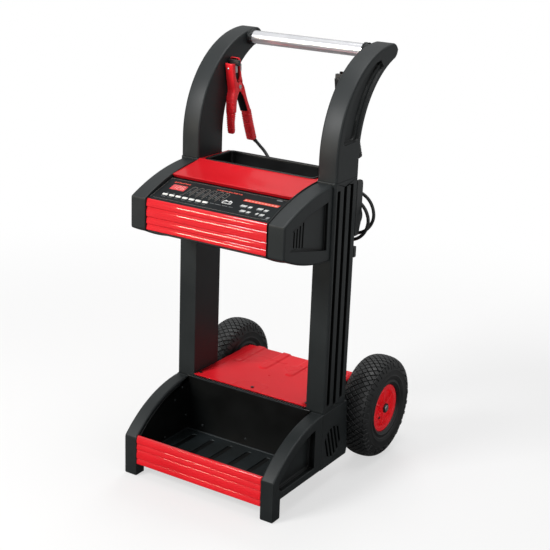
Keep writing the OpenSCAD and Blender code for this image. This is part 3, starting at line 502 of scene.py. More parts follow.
# The leads' coils hang behind the box in two layers: in turn by turn, over, and out again. The mains
# cord's outer loops hang wide past the post and its inner ones lie round the peg, layer behind layer.
coilShape = {"z": 643, "y": 345, "cordD": 8, "gap": 0.6, "straight": 8, "perTurn": 24}
mainsCord = {"x": 181.5, "r": 58, "turns": 5, "length": 1.3, "end": "plug",
             "reach": [(0, 58), (0.5, 54), (1, 36), (1.25, 32), (3.75, 32), (4, 36), (4.5, 54), (5, 58)],
             "shift": [(0, 0), (1.25, -16), (3.75, -16), (5, 0)], "layer": [(1, 0), (4, 25.8)],
             "route": [(123.5, 370.8, 635), (123.5, 370.8, 620), (123.5, 370.8, 605), (123.5, 370.8, 590)]}
redLead = {"x": -95, "r": 56, "turns": 4.5, "length": 1.53, "end": "object",
           "route": [(-39, 353.6, 651), (-39, 353.6, 659), (-39.4, 355, 668), (-41, 359, 677),
                     (-44, 365.5, 685.5), (-49, 374, 693), (-56, 383.5, 699), (-64, 393.5, 703.5),
                     (-73, 403.5, 707.5), (-82.5, 413, 712), (-92, 420.5, 717.5), (-102, 426.5, 724.5),
                     (-112, 430, 733), (-121, 431, 741.5), (-129, 430.3, 748.5), (-135.4, 428.8, 754.9),
                     (-140.4, 426.3, 761.1)]}
blackLead = {"x": 55, "r": 56, "turns": 4.5, "length": 1.48, "end": "object",
             "route": [(111, 353.6, 651), (111, 353.6, 659), (111, 355, 668), (111, 359, 677),
                       (111, 365.5, 685.5), (111.4, 374, 693), (112, 384, 699), (113, 394.5, 704),
                       (114.5, 405, 709), (116.5, 414.5, 715), (119, 422.5, 722.5), (122, 428, 731.5),
                       (126, 430.5, 740.5), (130.5, 430.4, 748.5), (135.4, 428.8, 754.9),
                       (140.4, 426.3, 761.1)]}


def coilPath(spec):
    # A lead's radius falls by one turn step a turn to the middle and grows again; its depth steps back
    # half way. The mains cord reads radius, sideways shift and depth from tables by turn.
    shape = coilShape
    step = shape["cordD"] + shape["gap"]
    t = np.arange(int(spec["turns"] * shape["perTurn"]) + 1) / shape["perTurn"]
    if "reach" in spec:
        radius, shift, layer = (np.interp(t, *np.transpose(spec[k])) for k in ("reach", "shift", "layer"))
    else:
        radius, shift = spec["r"] - step * np.minimum(t, spec["turns"] - t), 0
        layer = step * np.clip((t - spec["turns"] / 2 + 0.25) * 2, 0, 1)
    a = np.pi + 2 * np.pi * t
    turns = np.stack([spec["x"] + shift + radius * np.cos(a), shape["y"] + layer,
                      shape["z"] + radius * np.sin(a)], -1)
    start = [[spec["x"] - spec["r"], shape["y"], shape["z"] + shape["straight"]]]
    return np.concatenate([start, turns, spec["route"]])


def makeCord(name, spec, nodes):
    # a round tube with closed ends along a smooth curve through the path's points
    points = place(coilPath(spec))
    curve = bpy.data.curves.new(name, "CURVE")
    curve.dimensions = "3D"
    curve.bevel_depth, curve.bevel_resolution, curve.resolution_u = coilShape["cordD"] / 2000, 4, 4
    curve.use_fill_caps = True
    spline = curve.splines.new("BEZIER")
    spline.bezier_points.add(len(points) - 1)
    spline.bezier_points.foreach_set("co", points.ravel())
    for point in spline.bezier_points:
        point.handle_left_type = point.handle_right_type = "AUTO"
    cord = bpy.data.objects.new(name, curve)
    scene.collection.objects.link(cord)
    curve.materials.append(jacketRubber)
    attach(cord, "cart")
    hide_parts(*nodes)
    return cord, points


plugBody = {"half": (13, 9.5), "length": 40, "round": 6, "neck": 5.5, "neckLength": 12, "ridged": (16, 33),
            "ridgePitch": 6.4, "ridgeHigh": 0.6, "brokenEdge": 0.8}


def makePlug():
    # Rings down the plug: a neck at the cord, a shoulder, a waist with grip ridges, and a flat face.
    spec = plugBody
    top = np.array(mainsCord["route"][-1], float)
    down = np.linspace(0, spec["length"], 60)
    grow = smooth(down, 2, spec["neckLength"])
    first, last = spec["ridged"]
    ridge = spec["ridgeHigh"] * np.sin((down - first) / spec["ridgePitch"] * 2 * np.pi)
    ridge = ridge * smooth(down, first, first + 1) * smooth(-down, -last, 1 - last)
    broken = spec["brokenEdge"] * smooth(down, spec["length"] - 1.5, spec["length"])
    rings = []
    for d, g, r, b in zip(down, grow, ridge, broken):
        halfX, halfY = (spec["neck"] + g * (half - spec["neck"]) - b for half in spec["half"])
        ring = roundedLoop(halfX + r * g, halfY, min(spec["round"] - 0.6 * g, halfY - 0.1))
        rings.append(np.column_stack([ring[:, 0], ring[:, 1], np.full(len(ring), -d)]))
    return makePiece("mainsPlugBody", [loft(np.array(rings) + top)], jacketRubber, slot="cord_jacket",
                     replaces=("mains_plug",))


plugPins = {"thick": 1.6, "wide": 6.4, "long": 17, "apart": 12.7}


def makePins():
    # two flat pins whose tips narrow over the last millimetres
    spec = plugPins
    top = np.array(mainsCord["route"][-1], float) - [0, 0, plugBody["length"] - 1]
    skins = []
    for side in (-1, 1):
        rings = []
        for d in (0, spec["long"] - 1, spec["long"] + 0.4, spec["long"] + 1):
            tip = 1 - 0.35 * smooth(d, spec["long"] - 1.5, spec["long"] + 1)
            ring = roundedLoop(spec["thick"] / 2 * tip, spec["wide"] / 2 * tip, 0.3 * tip, 3)
            rings.append(np.column_stack([ring + [side * spec["apart"] / 2, 0], np.full(len(ring), -d)]))
        skins.append(loft(np.array(rings) + top))
    return makePiece("mainsPlugPins", skins, zincPlate, slot="zinc_steel")


plug, pins = makePlug(), makePins()
for cordName, cordSpec, cordNodes, carried in (
        ("mainsCord", mainsCord, ("mains_cord_coil", "mains_cord_end"), [plug, pins]),
        ("redClampLead", redLead, ("red_lead_coil", "red_lead_end"), []),
        ("blackClampLead", blackLead, ("black_lead_coil", "black_lead_end"), [])):
    cord, cordPoints = makeCord(cordName, cordSpec, cordNodes)
print("cords ready")

# Distances on the stage are in metres and lamps in watts. The mirrored values are how bright gloss sees
# the backdrop from low to high, and the floor from near to far.
stageLook = {"floorColour": "#e4e4e4", "floorHalf": 20.0, "fadeFrom": 0.9, "fadeTo": 2.2, "world": 0.24,
             "mirrored": (0.4, 0.95), "mirroredFloor": (0.08, 0.42), "mirroredFrom": 0.4, "mirroredTo": 2.0}


def makeFloor():
    # The floor is pale and takes the shadow near the cart; further out it fades to the plain backdrop.
    look = stageLook
    half = look["floorHalf"]
    mesh = bpy.data.meshes.new("floor")
    mesh.from_pydata([(-half, -half, 0), (half, -half, 0), (half, half, 0), (-half, half, 0)], [],
                     [(0, 1, 2, 3)])
    floor = bpy.data.objects.new("floor", mesh)
    scene.collection.objects.link(floor)
    material = bpy.data.materials.new("pale studio floor")
    material.use_nodes = True
    tree = material.node_tree
    tree.nodes.clear()
    where = addNode(tree, "TexCoord").outputs["Object"]
    far = addNode(tree, "VectorMath", {0: where}, operation="LENGTH").outputs["Value"]
    fade = addNode(tree, "MapRange", {0: far, 1: look["fadeFrom"], 2: look["fadeTo"], 3: 0.6, 4: 1},
                   interpolation_type="SMOOTHSTEP")
    path = addNode(tree, "LightPath")
    seen = addNode(tree, "Math", {0: fade.outputs[0], 1: path.outputs["Is Camera Ray"]}, operation="MULTIPLY")
    share = addNode(tree, "Math", {0: seen.outputs[0], 1: path.outputs["Is Glossy Ray"]}, operation="ADD",
                    use_clamp=True)
    # gloss mirrors the floor darker near the cart, so that the low parts stay deep black
    mirrored = addNode(tree, "MapRange", {0: far, 1: look["mirroredFrom"], 2: look["mirroredTo"],
                                          3: look["mirroredFloor"][0], 4: look["mirroredFloor"][1]})
    glow = addNode(tree, "Mix", {0: path.outputs["Is Camera Ray"], 2: mirrored.outputs[0], 3: 1.0})
    matt = addNode(tree, "BsdfDiffuse", {"Color": hexColour(look["floorColour"])})
    white = addNode(tree, "Emission", {"Color": (1, 1, 1, 1), "Strength": glow.outputs[0]})
    blend = addNode(tree, "MixShader", {0: share.outputs[0], 1: matt.outputs[0], 2: white.outputs[0]})
    addNode(tree, "OutputMaterial", {"Surface": blend.outputs[0]})
    mesh.materials.append(material)


def makeBackdrop():
    # White to the camera, dim as a light, and brighter overhead where gloss mirrors it.
    look = stageLook
    world = bpy.data.worlds.new("studio")
    scene.world = world
    world.use_nodes = True
    tree = world.node_tree
    tree.nodes.clear()
    path = addNode(tree, "LightPath")
    seen = addNode(tree, "Math", {0: path.outputs["Is Camera Ray"], 1: path.outputs["Is Transmission Ray"]},
                   operation="ADD", use_clamp=True)
    up = addNode(tree, "SeparateXYZ", {0: addNode(tree, "TexCoord").outputs["Generated"]})
    overhead = addNode(tree, "MapRange", {0: up.outputs[2], 1: 0.25, 2: 0.85, 3: look["mirrored"][0],
                                          4: look["mirrored"][1]}, interpolation_type="SMOOTHSTEP")
    dim = addNode(tree, "Mix", {0: path.outputs["Is Glossy Ray"], 2: look["world"], 3: overhead.outputs[0]})
    strength = addNode(tree, "Mix", {0: seen.outputs[0], 2: dim.outputs[0], 3: 1.0})
    background = addNode(tree, "Background", {"Color": (1, 1, 1, 1), "Strength": strength.outputs[0]})
    addNode(tree, "OutputWorld", {"Surface": background.outputs[0]})


lamps = {"key": {"at": (-1.25, -2.9, 2.5), "size": (1.1, 1.1), "power": 100},
         "strip": {"at": (-1.28, -2.4, 0.85), "size": (0.65, 0.13), "power": 10, "colour": (1, 0.86, 0.66)},
         "fill": {"at": (2.6, -1.6, 1.5), "size": (2.0, 2.0), "power": 14},
         "top": {"at": (0.2, 0.1, 3.2), "size": (1.8, 1.8), "power": 36},
         "rim": {"at": (-1.0, 2.6, 2.2), "size": (1.5, 1.5), "power": 42, "mirrored": False}}


def makeLamps():
    # soft rectangles of light that face a point half a metre up
    middle = Vector((0, 0, 0.5))
    for name, spec in lamps.items():
        data = bpy.data.lights.new(name, "AREA")
        data.shape, data.energy = "RECTANGLE", spec["power"]
        data.size, data.size_y = spec["size"]
        data.color = spec.get("colour", (1, 1, 1))
        lamp = bpy.data.objects.new(name, data)
        lamp.visible_glossy = spec.get("mirrored", True)
        lamp.location = spec["at"]
        lamp.rotation_euler = (middle - Vector(spec["at"])).to_track_quat("-Z", "Y").to_euler()
        scene.collection.objects.link(lamp)


makeFloor()
makeBackdrop()
makeLamps()
print("stage ready")

trayBack, postTop, baseTop = frontY + 0.208, 0.752, 0.193
# Radii in mm of the parts' outer edges and of the edges of their recesses, and the planes in metres
# where one part meets the next: the axis that crosses the plane, and its place.
frameParts = {"post": (4.5, 1.2), "base_box": (3.5, 1.2), "tray_side": (4, 1.6)}
frameSeams = [(1, trayBack), (2, postTop), (2, baseTop)]
cheekRecess = {"front": 41, "back": 195, "out": 207.5, "built": 8, "deep": (3.6, 7.6)}


def shallower(points):
    # the cheek's recess is shallow in front and deepens to the back
    spec = cheekRecess
    side = np.sign(points[0, 0])
    away = np.abs(points[:, 0]) * 1000
    depth = (points[:, 1] - frontY) * 1000
    onFloor = np.abs(away - spec["out"] + spec["built"]) < 0.05
    share = np.clip((depth - spec["front"]) / (spec["back"] - spec["front"]), 0, 1)
    deep = spec["deep"][0] + share * (spec["deep"][1] - spec["deep"][0])
    points[onFloor, 0] = side * (spec["out"] - deep[onFloor]) * 0.001
    return points


# The arm's front follows one circle and its back another; both end in the round tip.
arm = {"inner": 163.5, "outer": 213.5, "foot": 752, "bend": 798, "front": (215, 455, 240),
       "back": (314.5, 529.3, 214.8), "turn": (0, 8.15, 30, 89.5), "turnBack": (0, 9.92, 29, 71),
       "tip": (453, 1019, 19), "round": 5}
# The recess steps down twice: how far each step stays from the front and the back curve, its foot and
# how deep it goes. The end is an angle about the front's centre.
recess = {"steps": ((21, 13, 832, 5.5), (25, 25, 836, 4.3)), "end": 104.4, "endRim": 11, "slope": 0.03,
          "corner": 9, "fromWidth": 50}


def armLines():
    # pairs of points on the front and the back, from the foot to the tip's last point, close together
    # where the recess starts and ends
    foot = np.array([arm["foot"], arm["foot"] + 0.8, arm["foot"] + 3, 765, 780, 792, arm["bend"]])
    turn = np.concatenate([np.linspace(0, 7.2, 5)[1:], np.linspace(7.5, 10.5, 11), np.linspace(11.2, 74, 62),
                           np.linspace(74.6, 78.4, 12), np.linspace(79, 89.5, 10)])
    tipY, tipZ, tipR = arm["tip"]
    close = np.radians(np.linspace(6, 80, 14))
    lines = []
    for spec, angle, start, sign in ((arm["front"], turn, 90, -1),
                                     (arm["back"], np.interp(turn, arm["turn"], arm["turnBack"]), -71, 1)):
        a, b = np.radians(180 - angle), np.radians(start) + sign * close
        lines.append(np.concatenate([
            np.stack([np.full(len(foot), spec[0]), foot], -1),
            np.stack([spec[1] + spec[2] * np.cos(a), arm["bend"] + spec[2] * np.sin(a)], -1),
            np.stack([tipY + tipR * np.cos(b), tipZ + tipR * np.sin(b)], -1)]))
    return lines


def armRecess(spot):
    # Depth of the recess: how far a point lies inside both curves and both ends, with round corners.
    y, z = spot[..., 0], spot[..., 1]
    out = np.hypot(y - arm["front"][1], z - arm["bend"])
    back = np.hypot(y - arm["back"][1], z - arm["bend"])
    angle = np.degrees(np.arctan2(z - arm["bend"], y - arm["front"][1]))
    upEnd = np.radians(angle - recess["end"]) * out + recess["endRim"]
    deep, r = 0, recess["corner"]
    for rimFront, rimBack, low, down in recess["steps"]:
        across = np.minimum(arm["front"][2] - rimFront - out, back - arm["back"][2] - rimBack)
        along = np.minimum(upEnd, z - low - (y - arm["front"][0]) * recess["slope"])
        edge = r - np.hypot(np.maximum(r - across, 0), np.maximum(r - along, 0))
        edge = np.where((across < r) & (along < r), edge, np.minimum(across, along))
        deep = deep + down * smooth(edge, -0.2, 1.2)
    return deep


def makeArm(name, side):
    # Sections from the front line to the back line: rounded corners, the recess cut into the outer face.
    front, back = armLines()
    width = np.linalg.norm(back - front, axis=1)[:, None]
    way = ((back - front) / width)[:, None]
    r = np.minimum(arm["round"], width * 0.45)
    # distances from the front's and the back's corner, close together where the recess steps down
    near = np.concatenate([np.linspace(0, 19, 6), np.linspace(19.6, 27, 16)])
    far = np.concatenate([np.linspace(0, 11, 5), np.linspace(11.5, 15, 8), np.linspace(16.5, 22, 4),
                          np.linspace(22.5, 27, 10)])
    inside = width - 2 * r
    scale = np.minimum(1, inside / (near[-1] + far[-1] + 2))
    face = np.concatenate([near * scale, inside - far[::-1] * scale], axis=1) + r
    spot = front[:, None] + way * face[..., None]
    faceOut = arm["outer"] - armRecess(spot) * (inside > recess["fromWidth"])
    quarter = np.radians(np.linspace(0, 90, 6))
    c, s = r * np.cos(quarter), r * np.sin(quarter)
    # round the section: inner face's front corner, outer face with its recess, and the back corners
    t = np.concatenate([r - s, r - c, face[:, 1:-1], width - r + s, width - r + c], axis=1)
    x = np.concatenate([arm["inner"] + r - c, arm["outer"] - r + s, faceOut[:, 1:-1],
                        arm["outer"] - r + c, arm["inner"] + r - s], axis=1)
    rings = np.concatenate([side * x[..., None], front[:, None] + way * t[..., None]], axis=2)
    makePiece(f"{name}HandleArm", [loft(rings)], frameBlack, slot="black_abs",
              replaces=(f"{name}_handle_arm",), sharp=44)


for name, side in sides.items():
    for part, (big, fine) in frameParts.items():
        roundedCopy(f"{name}_{part}", frameBlack, big, fine, frameSeams, slot="black_abs")
    roundedCopy(f"{name}_cheek", frameBlack, 5, 1.2, slot="black_abs", moved=shallower)
    makeArm(name, side)

cheekScrews = {"at": ((58.5, 675.7), (55.5, 630)), "floor": 203.5, "r": 2.6}


def makeCheekScrews():
    # two screws in front of the louvres, their domed heads on the recess floor
    spec = cheekScrews
    r = spec["r"]
    dome = np.array([(0.5, 0.5), (0.8, 1.3), (r * 0.7, 1.1), (r, 0.2), (r, -0.6), (0.5, -0.6)])
    skins = [turned(dome * [1, side], (side * spec["floor"], y, z), "x", 20)
             for side in (-1, 1) for y, z in spec["at"]]
    makePiece("cheekScrewHeads", skins, blackOxide, slot="black_paint")


makeCheekScrews()
print("side frames ready")

# Radii and distances in mm; out is counted from the wheel's middle plane.
wheel = {"x": 215, "y": 464, "z": 130, "r": 130, "half": 39, "beadR": 58, "rimHalf": 31, "boreR": 8.06,
         "hubR": 15, "hubIn": 165, "tyreSteps": 160, "rimSteps": 240}
tread = {"rows": 50, "columns": (-27.6, -18.4, -9.2, 0, 9.2, 18.4, 27.6), "high": 3.4,
         "alongR": 7.2, "acrossR": 8.2,
         "shoulder": {"at": 38.5, "stagger": 2.6, "alongR": 5.6, "acrossR": 6.2}}
# Moulded rings on the sidewall: radius, width and height.
sidewallRings = ((68.5, 1.9, 1.6), (75, 2.8, -1.6), (84.5, 1.6, 0.95), (99.5, 1.4, 0.7))


def aroundAxle(radius, out, side, steps):
    # (radius, distance out from the wheel's middle) carried round the axle; angle 0 points back
    a = np.linspace(0, 2 * np.pi, steps, endpoint=False)
    radius, out, a = np.broadcast_arrays(radius, out, a)
    return np.stack([side * (wheel["x"] + out), wheel["y"] + radius * np.cos(a),
                     wheel["z"] + radius * np.sin(a)], -1)


def tyreProfile():
    # Half of the section as (out, radius), smoothed; the tread is lower by the height of its lugs.
    r, half, bead, flange = wheel["r"], wheel["half"], wheel["beadR"], wheel["rimHalf"]
    under = r - tread["high"]
    points = [(0, under), (half * 0.35, under - 1), (half * 0.68, under - 5.4), (half * 0.87, under - 12.5),
              (half * 0.96, r - 25), (half * 0.98, r - 38), (half * 0.965, bead + 22),
              (half * 0.92, bead + 11.5), (half * 0.88, bead + 6.2), (flange + 1.6, bead + 3.6),
              (flange - 0.8, bead + 2.6), (flange - 4, bead + 2.4)]
    out, radius = alongPath(points, 90).T
    for at, wide, high in sidewallRings:
        out = out + high * np.exp(-((radius - at) / wide) ** 2)
    return out, radius


def treadSkin(side):
    # Each lug is a low pyramid on the tread: a wide foot under the rubber, a shoulder and a top. Diamonds
    # stand in staggered columns, and square blocks of two lengths line both shoulders.
    out, radius = tyreProfile()
    way = np.concatenate([[0], np.cumsum(np.hypot(np.diff(out), np.diff(radius)))])
    slopeOut, slopeUp = np.gradient(out, way), np.gradient(radius, way)
    rows, edge, top = tread["rows"], tread["shoulder"], tread["high"]
    lugs = [(s, (i + k % 2 / 2) * 360 / rows, tread["alongR"], tread["acrossR"], 0)
            for k, s in enumerate(tread["columns"]) for i in range(rows)]
    for sign in (-1, 1):
        for i in range(rows):
            longer = edge["stagger"] * (i % 2)
            lugs.append((sign * (edge["at"] + longer), (i + 0.5) * 360 / rows, edge["alongR"],
                         edge["acrossR"] + longer, 1))
    s, spin, alongR, acrossR, square = np.array(lugs).T[..., None]
    corner = np.radians(np.arange(4) * 90)
    u = alongR * np.where(square, np.sign(np.cos(corner + 0.8)), np.cos(corner))
    v = acrossR * np.where(square, np.sign(np.sin(corner + 0.8)), np.sin(corner))
    layers = []
    for scale, high in ((1.12, -1.2), (1.0, top * 0.3), (0.93, top * 0.86), (0.8, top)):
        at = s + v * scale
        sign, at = np.where(at < 0, -1, 1), np.abs(at)
        lift = high * np.where(square * (high > 0), 0.9, 1)
        spotOut = np.interp(at, way, out) - lift * np.interp(at, way, slopeUp)
        spotOut = np.minimum(spotOut, wheel["half"])
        spotR = np.interp(at, way, radius) + lift * np.interp(at, way, slopeOut)
        turn = np.radians(spin) + u * scale / wheel["r"]
        layers.append(np.stack([side * (wheel["x"] + sign * spotOut), wheel["y"] + spotR * np.cos(turn),
                                wheel["z"] + spotR * np.sin(turn)], -1))
    points = np.stack(layers, 1).reshape(-1, 3)
    one = np.concatenate([gridFaces(4, 4, wrapCols=True), [[3, 2, 1, 0], [12, 13, 14, 15]]])
    faces = (one + 16 * np.arange(len(lugs))[:, None, None]).reshape(-1, 4)
    return points, [faces]


def makeTyre(name, side):
    # The half section and its mirror image, closed by the bore and carried round the axle.
    out, radius = tyreProfile()
    under = wheel["rimHalf"] - 4  # the bore closes the section on the rim
    line = np.concatenate([np.stack([-out, radius], -1)[::-1][:-1], np.stack([out, radius], -1),
                           [(under, wheel["beadR"]), (-under, wheel["beadR"])]])
    carcass = loft(aroundAxle(line[:, 1:], line[:, :1], side, wheel["tyreSteps"]), wrapRings=True)
    makePiece(f"{name}TyreCarcass", [carcass, treadSkin(side)], tyreRubber, body=f"{name}_wheel",
              slot="tyre", replaces=(f"{name}_tyre",), sharp=32)


rimFace = {"disc": 22, "rib": 28, "ribs": 6, "ribHalf": 1.7, "ringIn": 45.5, "groove": (46, 49, 50.5, 52.5),
           "grooveDeep": 0.9, "lip": (59, 61), "lipDeep": 1.6, "valveR": 28, "valveAngle": 240,
           "valveHole": (4.2, 5.2), "valveDeep": 3}


def rimSkin(side):
    # The outer face is a height over the polar plane: a flat disc, a ring, ribs between, and a hub.
    spec = rimFace
    a = np.linspace(0, 2 * np.pi, wheel["rimSteps"], endpoint=False)
    disc, ringIn, full, hubR = spec["disc"], spec["ringIn"], wheel["rimHalf"], wheel["hubR"]
    r = np.concatenate([np.linspace(wheel["boreR"], hubR + 3, 10), np.linspace(hubR + 4.5, ringIn - 1, 12),
                        np.linspace(ringIn, ringIn + 4, 6), [52, 55, 57.5, 59.5, 61.3, 62.4, 63]])[:, None]
    # ribs start straight down (angle 270) and repeat; off is the distance from the nearest rib's middle
    step = 2 * np.pi / spec["ribs"]
    off = r * np.abs(np.sin((a - np.radians(270) + step / 2) % step - step / 2))
    ring, hub = smooth(r, ringIn, ringIn + 3), 1 - smooth(r, hubR, hubR + 2)
    rib = 1 - smooth(off, spec["ribHalf"], spec["ribHalf"] + 2)
    out = disc + np.maximum((full - disc) * np.maximum(ring, hub), (spec["rib"] - disc) * rib)
    g = spec["groove"]
    out = out - spec["lipDeep"] * smooth(r, *spec["lip"])
    out = out - spec["grooveDeep"] * smooth(r, g[0], g[1]) * (1 - smooth(r, g[2], g[3]))
    turn = np.radians(spec["valveAngle"])
    away = np.hypot(r * np.cos(a) - spec["valveR"] * np.cos(turn),
                    r * np.sin(a) - spec["valveR"] * np.sin(turn))
    out = out - spec["valveDeep"] * (1 - smooth(away, *spec["valveHole"]))
    # the well for the tyre, the hollow back and the hub's long inner end, as (radius, out)
    hubEnd = wheel["hubIn"] - wheel["x"]
    back = np.array([(63, 27), (58.2, 26.6), (58, 25), (58, -25), (58.2, -26.6), (63, -27), (63, -30),
                     (62, -31), (54, -31), (53, -30), (53, 17), (52, 18), (hubR + 1, 18), (hubR, 17),
                     (hubR, hubEnd + 1), (hubR - 1, hubEnd), (wheel["boreR"], hubEnd)])
    outs = np.concatenate([out, np.broadcast_to(back[:, 1:], (len(back), len(a)))])
    return loft(aroundAxle(np.concatenate([r, back[:, :1]]), outs, side, len(a)), wrapRings=True)


def makeWheel(name, side):
    # tyre, rim and valve stem turn as one body
    makeTyre(name, side)
    makePiece(f"{name}RimMoulding", [rimSkin(side)], rimRed, body=f"{name}_wheel", slot="rim_plastic",
              replaces=(f"{name}_rim",), sharp=50)
    turn = np.radians(rimFace["valveAngle"])
    at = (side * (wheel["x"] + rimFace["disc"] - 3.2), wheel["y"] + rimFace["valveR"] * np.cos(turn),
          wheel["z"] + rimFace["valveR"] * np.sin(turn))
    stem = np.array([(0.2, 0), (4.1, 0), (4.1, 1.6), (3.4, 2.2), (3.1, 2.4), (3.1, 5.4), (2.6, 6),
                     (0.2, 6.1)])
    makePiece(f"{name}ValveStem", [turned(stem * [1, side], at, "x", 24, wrap=False)], jacketRubber,
              body=f"{name}_wheel", slot="tyre")


for name, side in sides.items():
    makeWheel(name, side)
print("wheels ready")

# The clamps' section: within free of the pivot the body's flanks draw in to inner, between the lever's.
clampShape = {"x": 150, "half": 11.5, "sheet": 1.6, "pivot": (344.5, 908.5), "free": 14.5, "inner": 6.2,
              "corner": 3.2}
# Depths and heights of the two levers' webs and open edges, from the jaw down.
lowerLever = {
    "web": [(335.6, 979), (340, 978.8), (343.5, 977), (346.6, 972), (348.4, 965), (349.4, 955), (350.2, 945),
            (352.6, 934), (356.5, 924), (361, 914), (366, 904), (370.5, 894), (376, 881.5), (382.5, 868),
            (388.5, 857.5), (394.5, 848), (400, 838)],
    "open": [(335.4, 976), (336.4, 973), (338.4, 969), (340.2, 964), (341.4, 958), (342.2, 951), (343, 943),
             (342.8, 934), (341, 926.5), (345, 919.5), (352, 915.5), (355.5, 905), (351.5, 897), (360, 884.5),
             (368, 872), (376, 856.5), (384, 841)]}
upperLever = {
    "web": [(311.2, 966.3), (311.4, 962), (312.6, 956), (314, 949), (315.4, 941), (317, 932), (319.3, 922),
            (321, 914.5), (321.8, 911), (322.4, 908.5), (323, 906), (323.4, 903), (323.6, 899.5),
            (322.8, 895), (321, 889.5), (319.6, 883), (319.2, 874), (319.2, 862), (319.4, 846)],
    "open": [(321.5, 966), (322.3, 961), (322.9, 955), (323.6, 948), (324.4, 940), (326.4, 932), (331.5, 923),
             (338, 917.7), (343, 919.4), (349, 918.5), (353.6, 914.6), (355.5, 908.5), (353.8, 902.5),
             (349.5, 898.7), (342.5, 897.3), (337.5, 888), (334.2, 880), (332.9, 866), (332.2, 848)]}
# Soft parts of a clamp: front and back lines, half widths on the way down, and the round foot's length.
grips = {
    "body": {"front": [(383, 846), (389, 826), (397, 802), (404, 784), (412, 763.5)],
             "back": [(398, 847), (405, 826.5), (413, 806), (421, 788), (430.5, 767.5)],
             "halves": (11.9, 11.6, 11, 10.4), "foot": 4},
    "lever": {"front": [(318.6, 884), (318.6, 862), (319.3, 846), (321.2, 822), (326.5, 793)],
              "back": [(335.4, 882), (333.6, 862), (332.8, 846), (331.6, 822), (334.6, 797)],
              "halves": (11.9, 11.6, 10.4, 9.3), "foot": 3},
    "boot": {"front": [(350, 899), (355.5, 884.5), (363.5, 871), (371.5, 856), (378.5, 843)],
             "back": [(356, 902), (368, 886), (378, 872), (385, 857), (391, 843)],
             "halves": (3.5, 8.4, 10.2, 10.4, 10.4), "foot": 2, "ribs": 0}}
gripRibs = {"pitch": 4.4, "high": 0.7}
# Each jaw's teeth: depth of their face, height of the top and the foot, and the way they point.
teeth = {"count": 7, "deep": 1.6, "sheet": 1.4, "half": 6.5, "body": (335.1, 976, 946, -1),
         "lever": (326.5, 963, 942, 1)}
spring = {"turns": 3, "r": 5.2, "wireR": 0.9, "half": 3.2}
sleeve = {"path": [(148, 419, 779), (147, 421.5, 771), (144, 424, 765.5), (140.4, 426.3, 761.1)],
          "radius": (6, 4.5), "rings": 14}
liners = {"Lever": [(322, 962), (330.5, 961), (332.5, 945), (324, 943.5)],
          "Body": [(343.6, 965), (347.8, 963), (348.8, 947), (344.2, 946)]}
throat = {"outline": [(334.5, 921), (328.5, 927), (325.8, 934), (327.5, 941), (341.5, 942), (343.6, 934),
                      (341, 927)], "half": 7.5}
jawRivet = {"dome": [(0.1, 1.6), (1.2, 1.5), (2.2, 1.0), (2.8, 0.2), (2.9, -0.6), (0.1, -0.6)],
            "at": (2, 312.6, 953.5)}


def resampled(points, count):
    # even shares of a line from point to point, so that two matched lines stay level pair by pair
    points = np.asarray(points, float)
    t = np.linspace(0, len(points) - 1, count)
    return np.stack([np.interp(t, np.arange(len(points)), column) for column in points.T], -1)


def channelSkin(lever, side, narrow):
    # A U section from one open edge over the web to the other; narrow is its half width by the pivot.
    shape = clampShape
    web, edge = (resampled(lever[k], 72) for k in ("web", "open"))
    deep = np.linalg.norm(web - edge, axis=1)
    way = (web - edge) / deep[:, None]
    corner = np.minimum(shape["corner"], deep * 0.45)
    # one flank as pairs of depth and inset: down the wall, then round the corner to the web
    flank = [(share * (deep - corner), 0 * deep) for share in (0, 0.3, 0.6, 0.85, 1)]
    flank += [(deep - corner + corner * np.sin(a), corner * (1 - np.cos(a)))
              for a in np.radians((22, 45, 68, 90))]
    depth, inset = np.array(flank).transpose(1, 2, 0)
    depth = np.concatenate([depth, depth[:, ::-1]], axis=1)
    spot = edge[:, None] + way[:, None] * depth[..., None]
    away = np.linalg.norm(spot - np.array(shape["pivot"]), axis=2)
    near = 1 - smooth(away, shape["free"] + 0.4, shape["free"] + 3.4)
    half = shape["half"] - (shape["half"] - narrow) * near
    n = len(flank)
    offset = np.concatenate([half[:, :n] - inset, inset[:, ::-1] - half[:, n:]], axis=1)
    return sheetGrid(np.stack([side * (shape["x"] + offset), spot[..., 0], spot[..., 1]], -1))


def gripSkin(spec, side):
    # Rounded sections between a front and a back line, with fine ribs across and a closed, rounded foot.
    n = 76
    front, back = resampled(spec["front"], n), resampled(spec["back"], n)
    length = np.linalg.norm(front[-1] - front[0])
    way = np.linspace(0, length, n)
    rib = spec.get("ribs", gripRibs["high"]) * np.cos(2 * np.pi * way / gripRibs["pitch"])
    rib = rib * smooth(way, 8, 14) * smooth(-way, 5 - length, 8 - length)
    closing = np.clip(way - (length - spec["foot"]), 0, None) / spec["foot"]
    closing = np.sqrt(np.clip(1 - closing ** 2, 0.02, 1))
    opening = 1 - 0.08 * (1 - smooth(way, 0, 1.6))
    middle, halfDeep = (front + back) / 2, np.linalg.norm(front - back, axis=1) / 2
    out = (front - back) / (2 * halfDeep)[:, None]
    halfWide = np.interp(np.linspace(0, 1, n), np.linspace(0, 1, len(spec["halves"])), spec["halves"])
    rings = []
    for i, scale in enumerate(closing * opening):
        corner = min(4.4, halfDeep[i] * 0.8)
        loop = scale * roundedLoop(halfWide[i] + rib[i], halfDeep[i] + rib[i], corner, 5)
        spot = middle[i] + out[i] * loop[:, 1:]
        rings.append(np.column_stack([side * clampShape["x"] + loop[:, 0], spot]))
    return loft(rings)


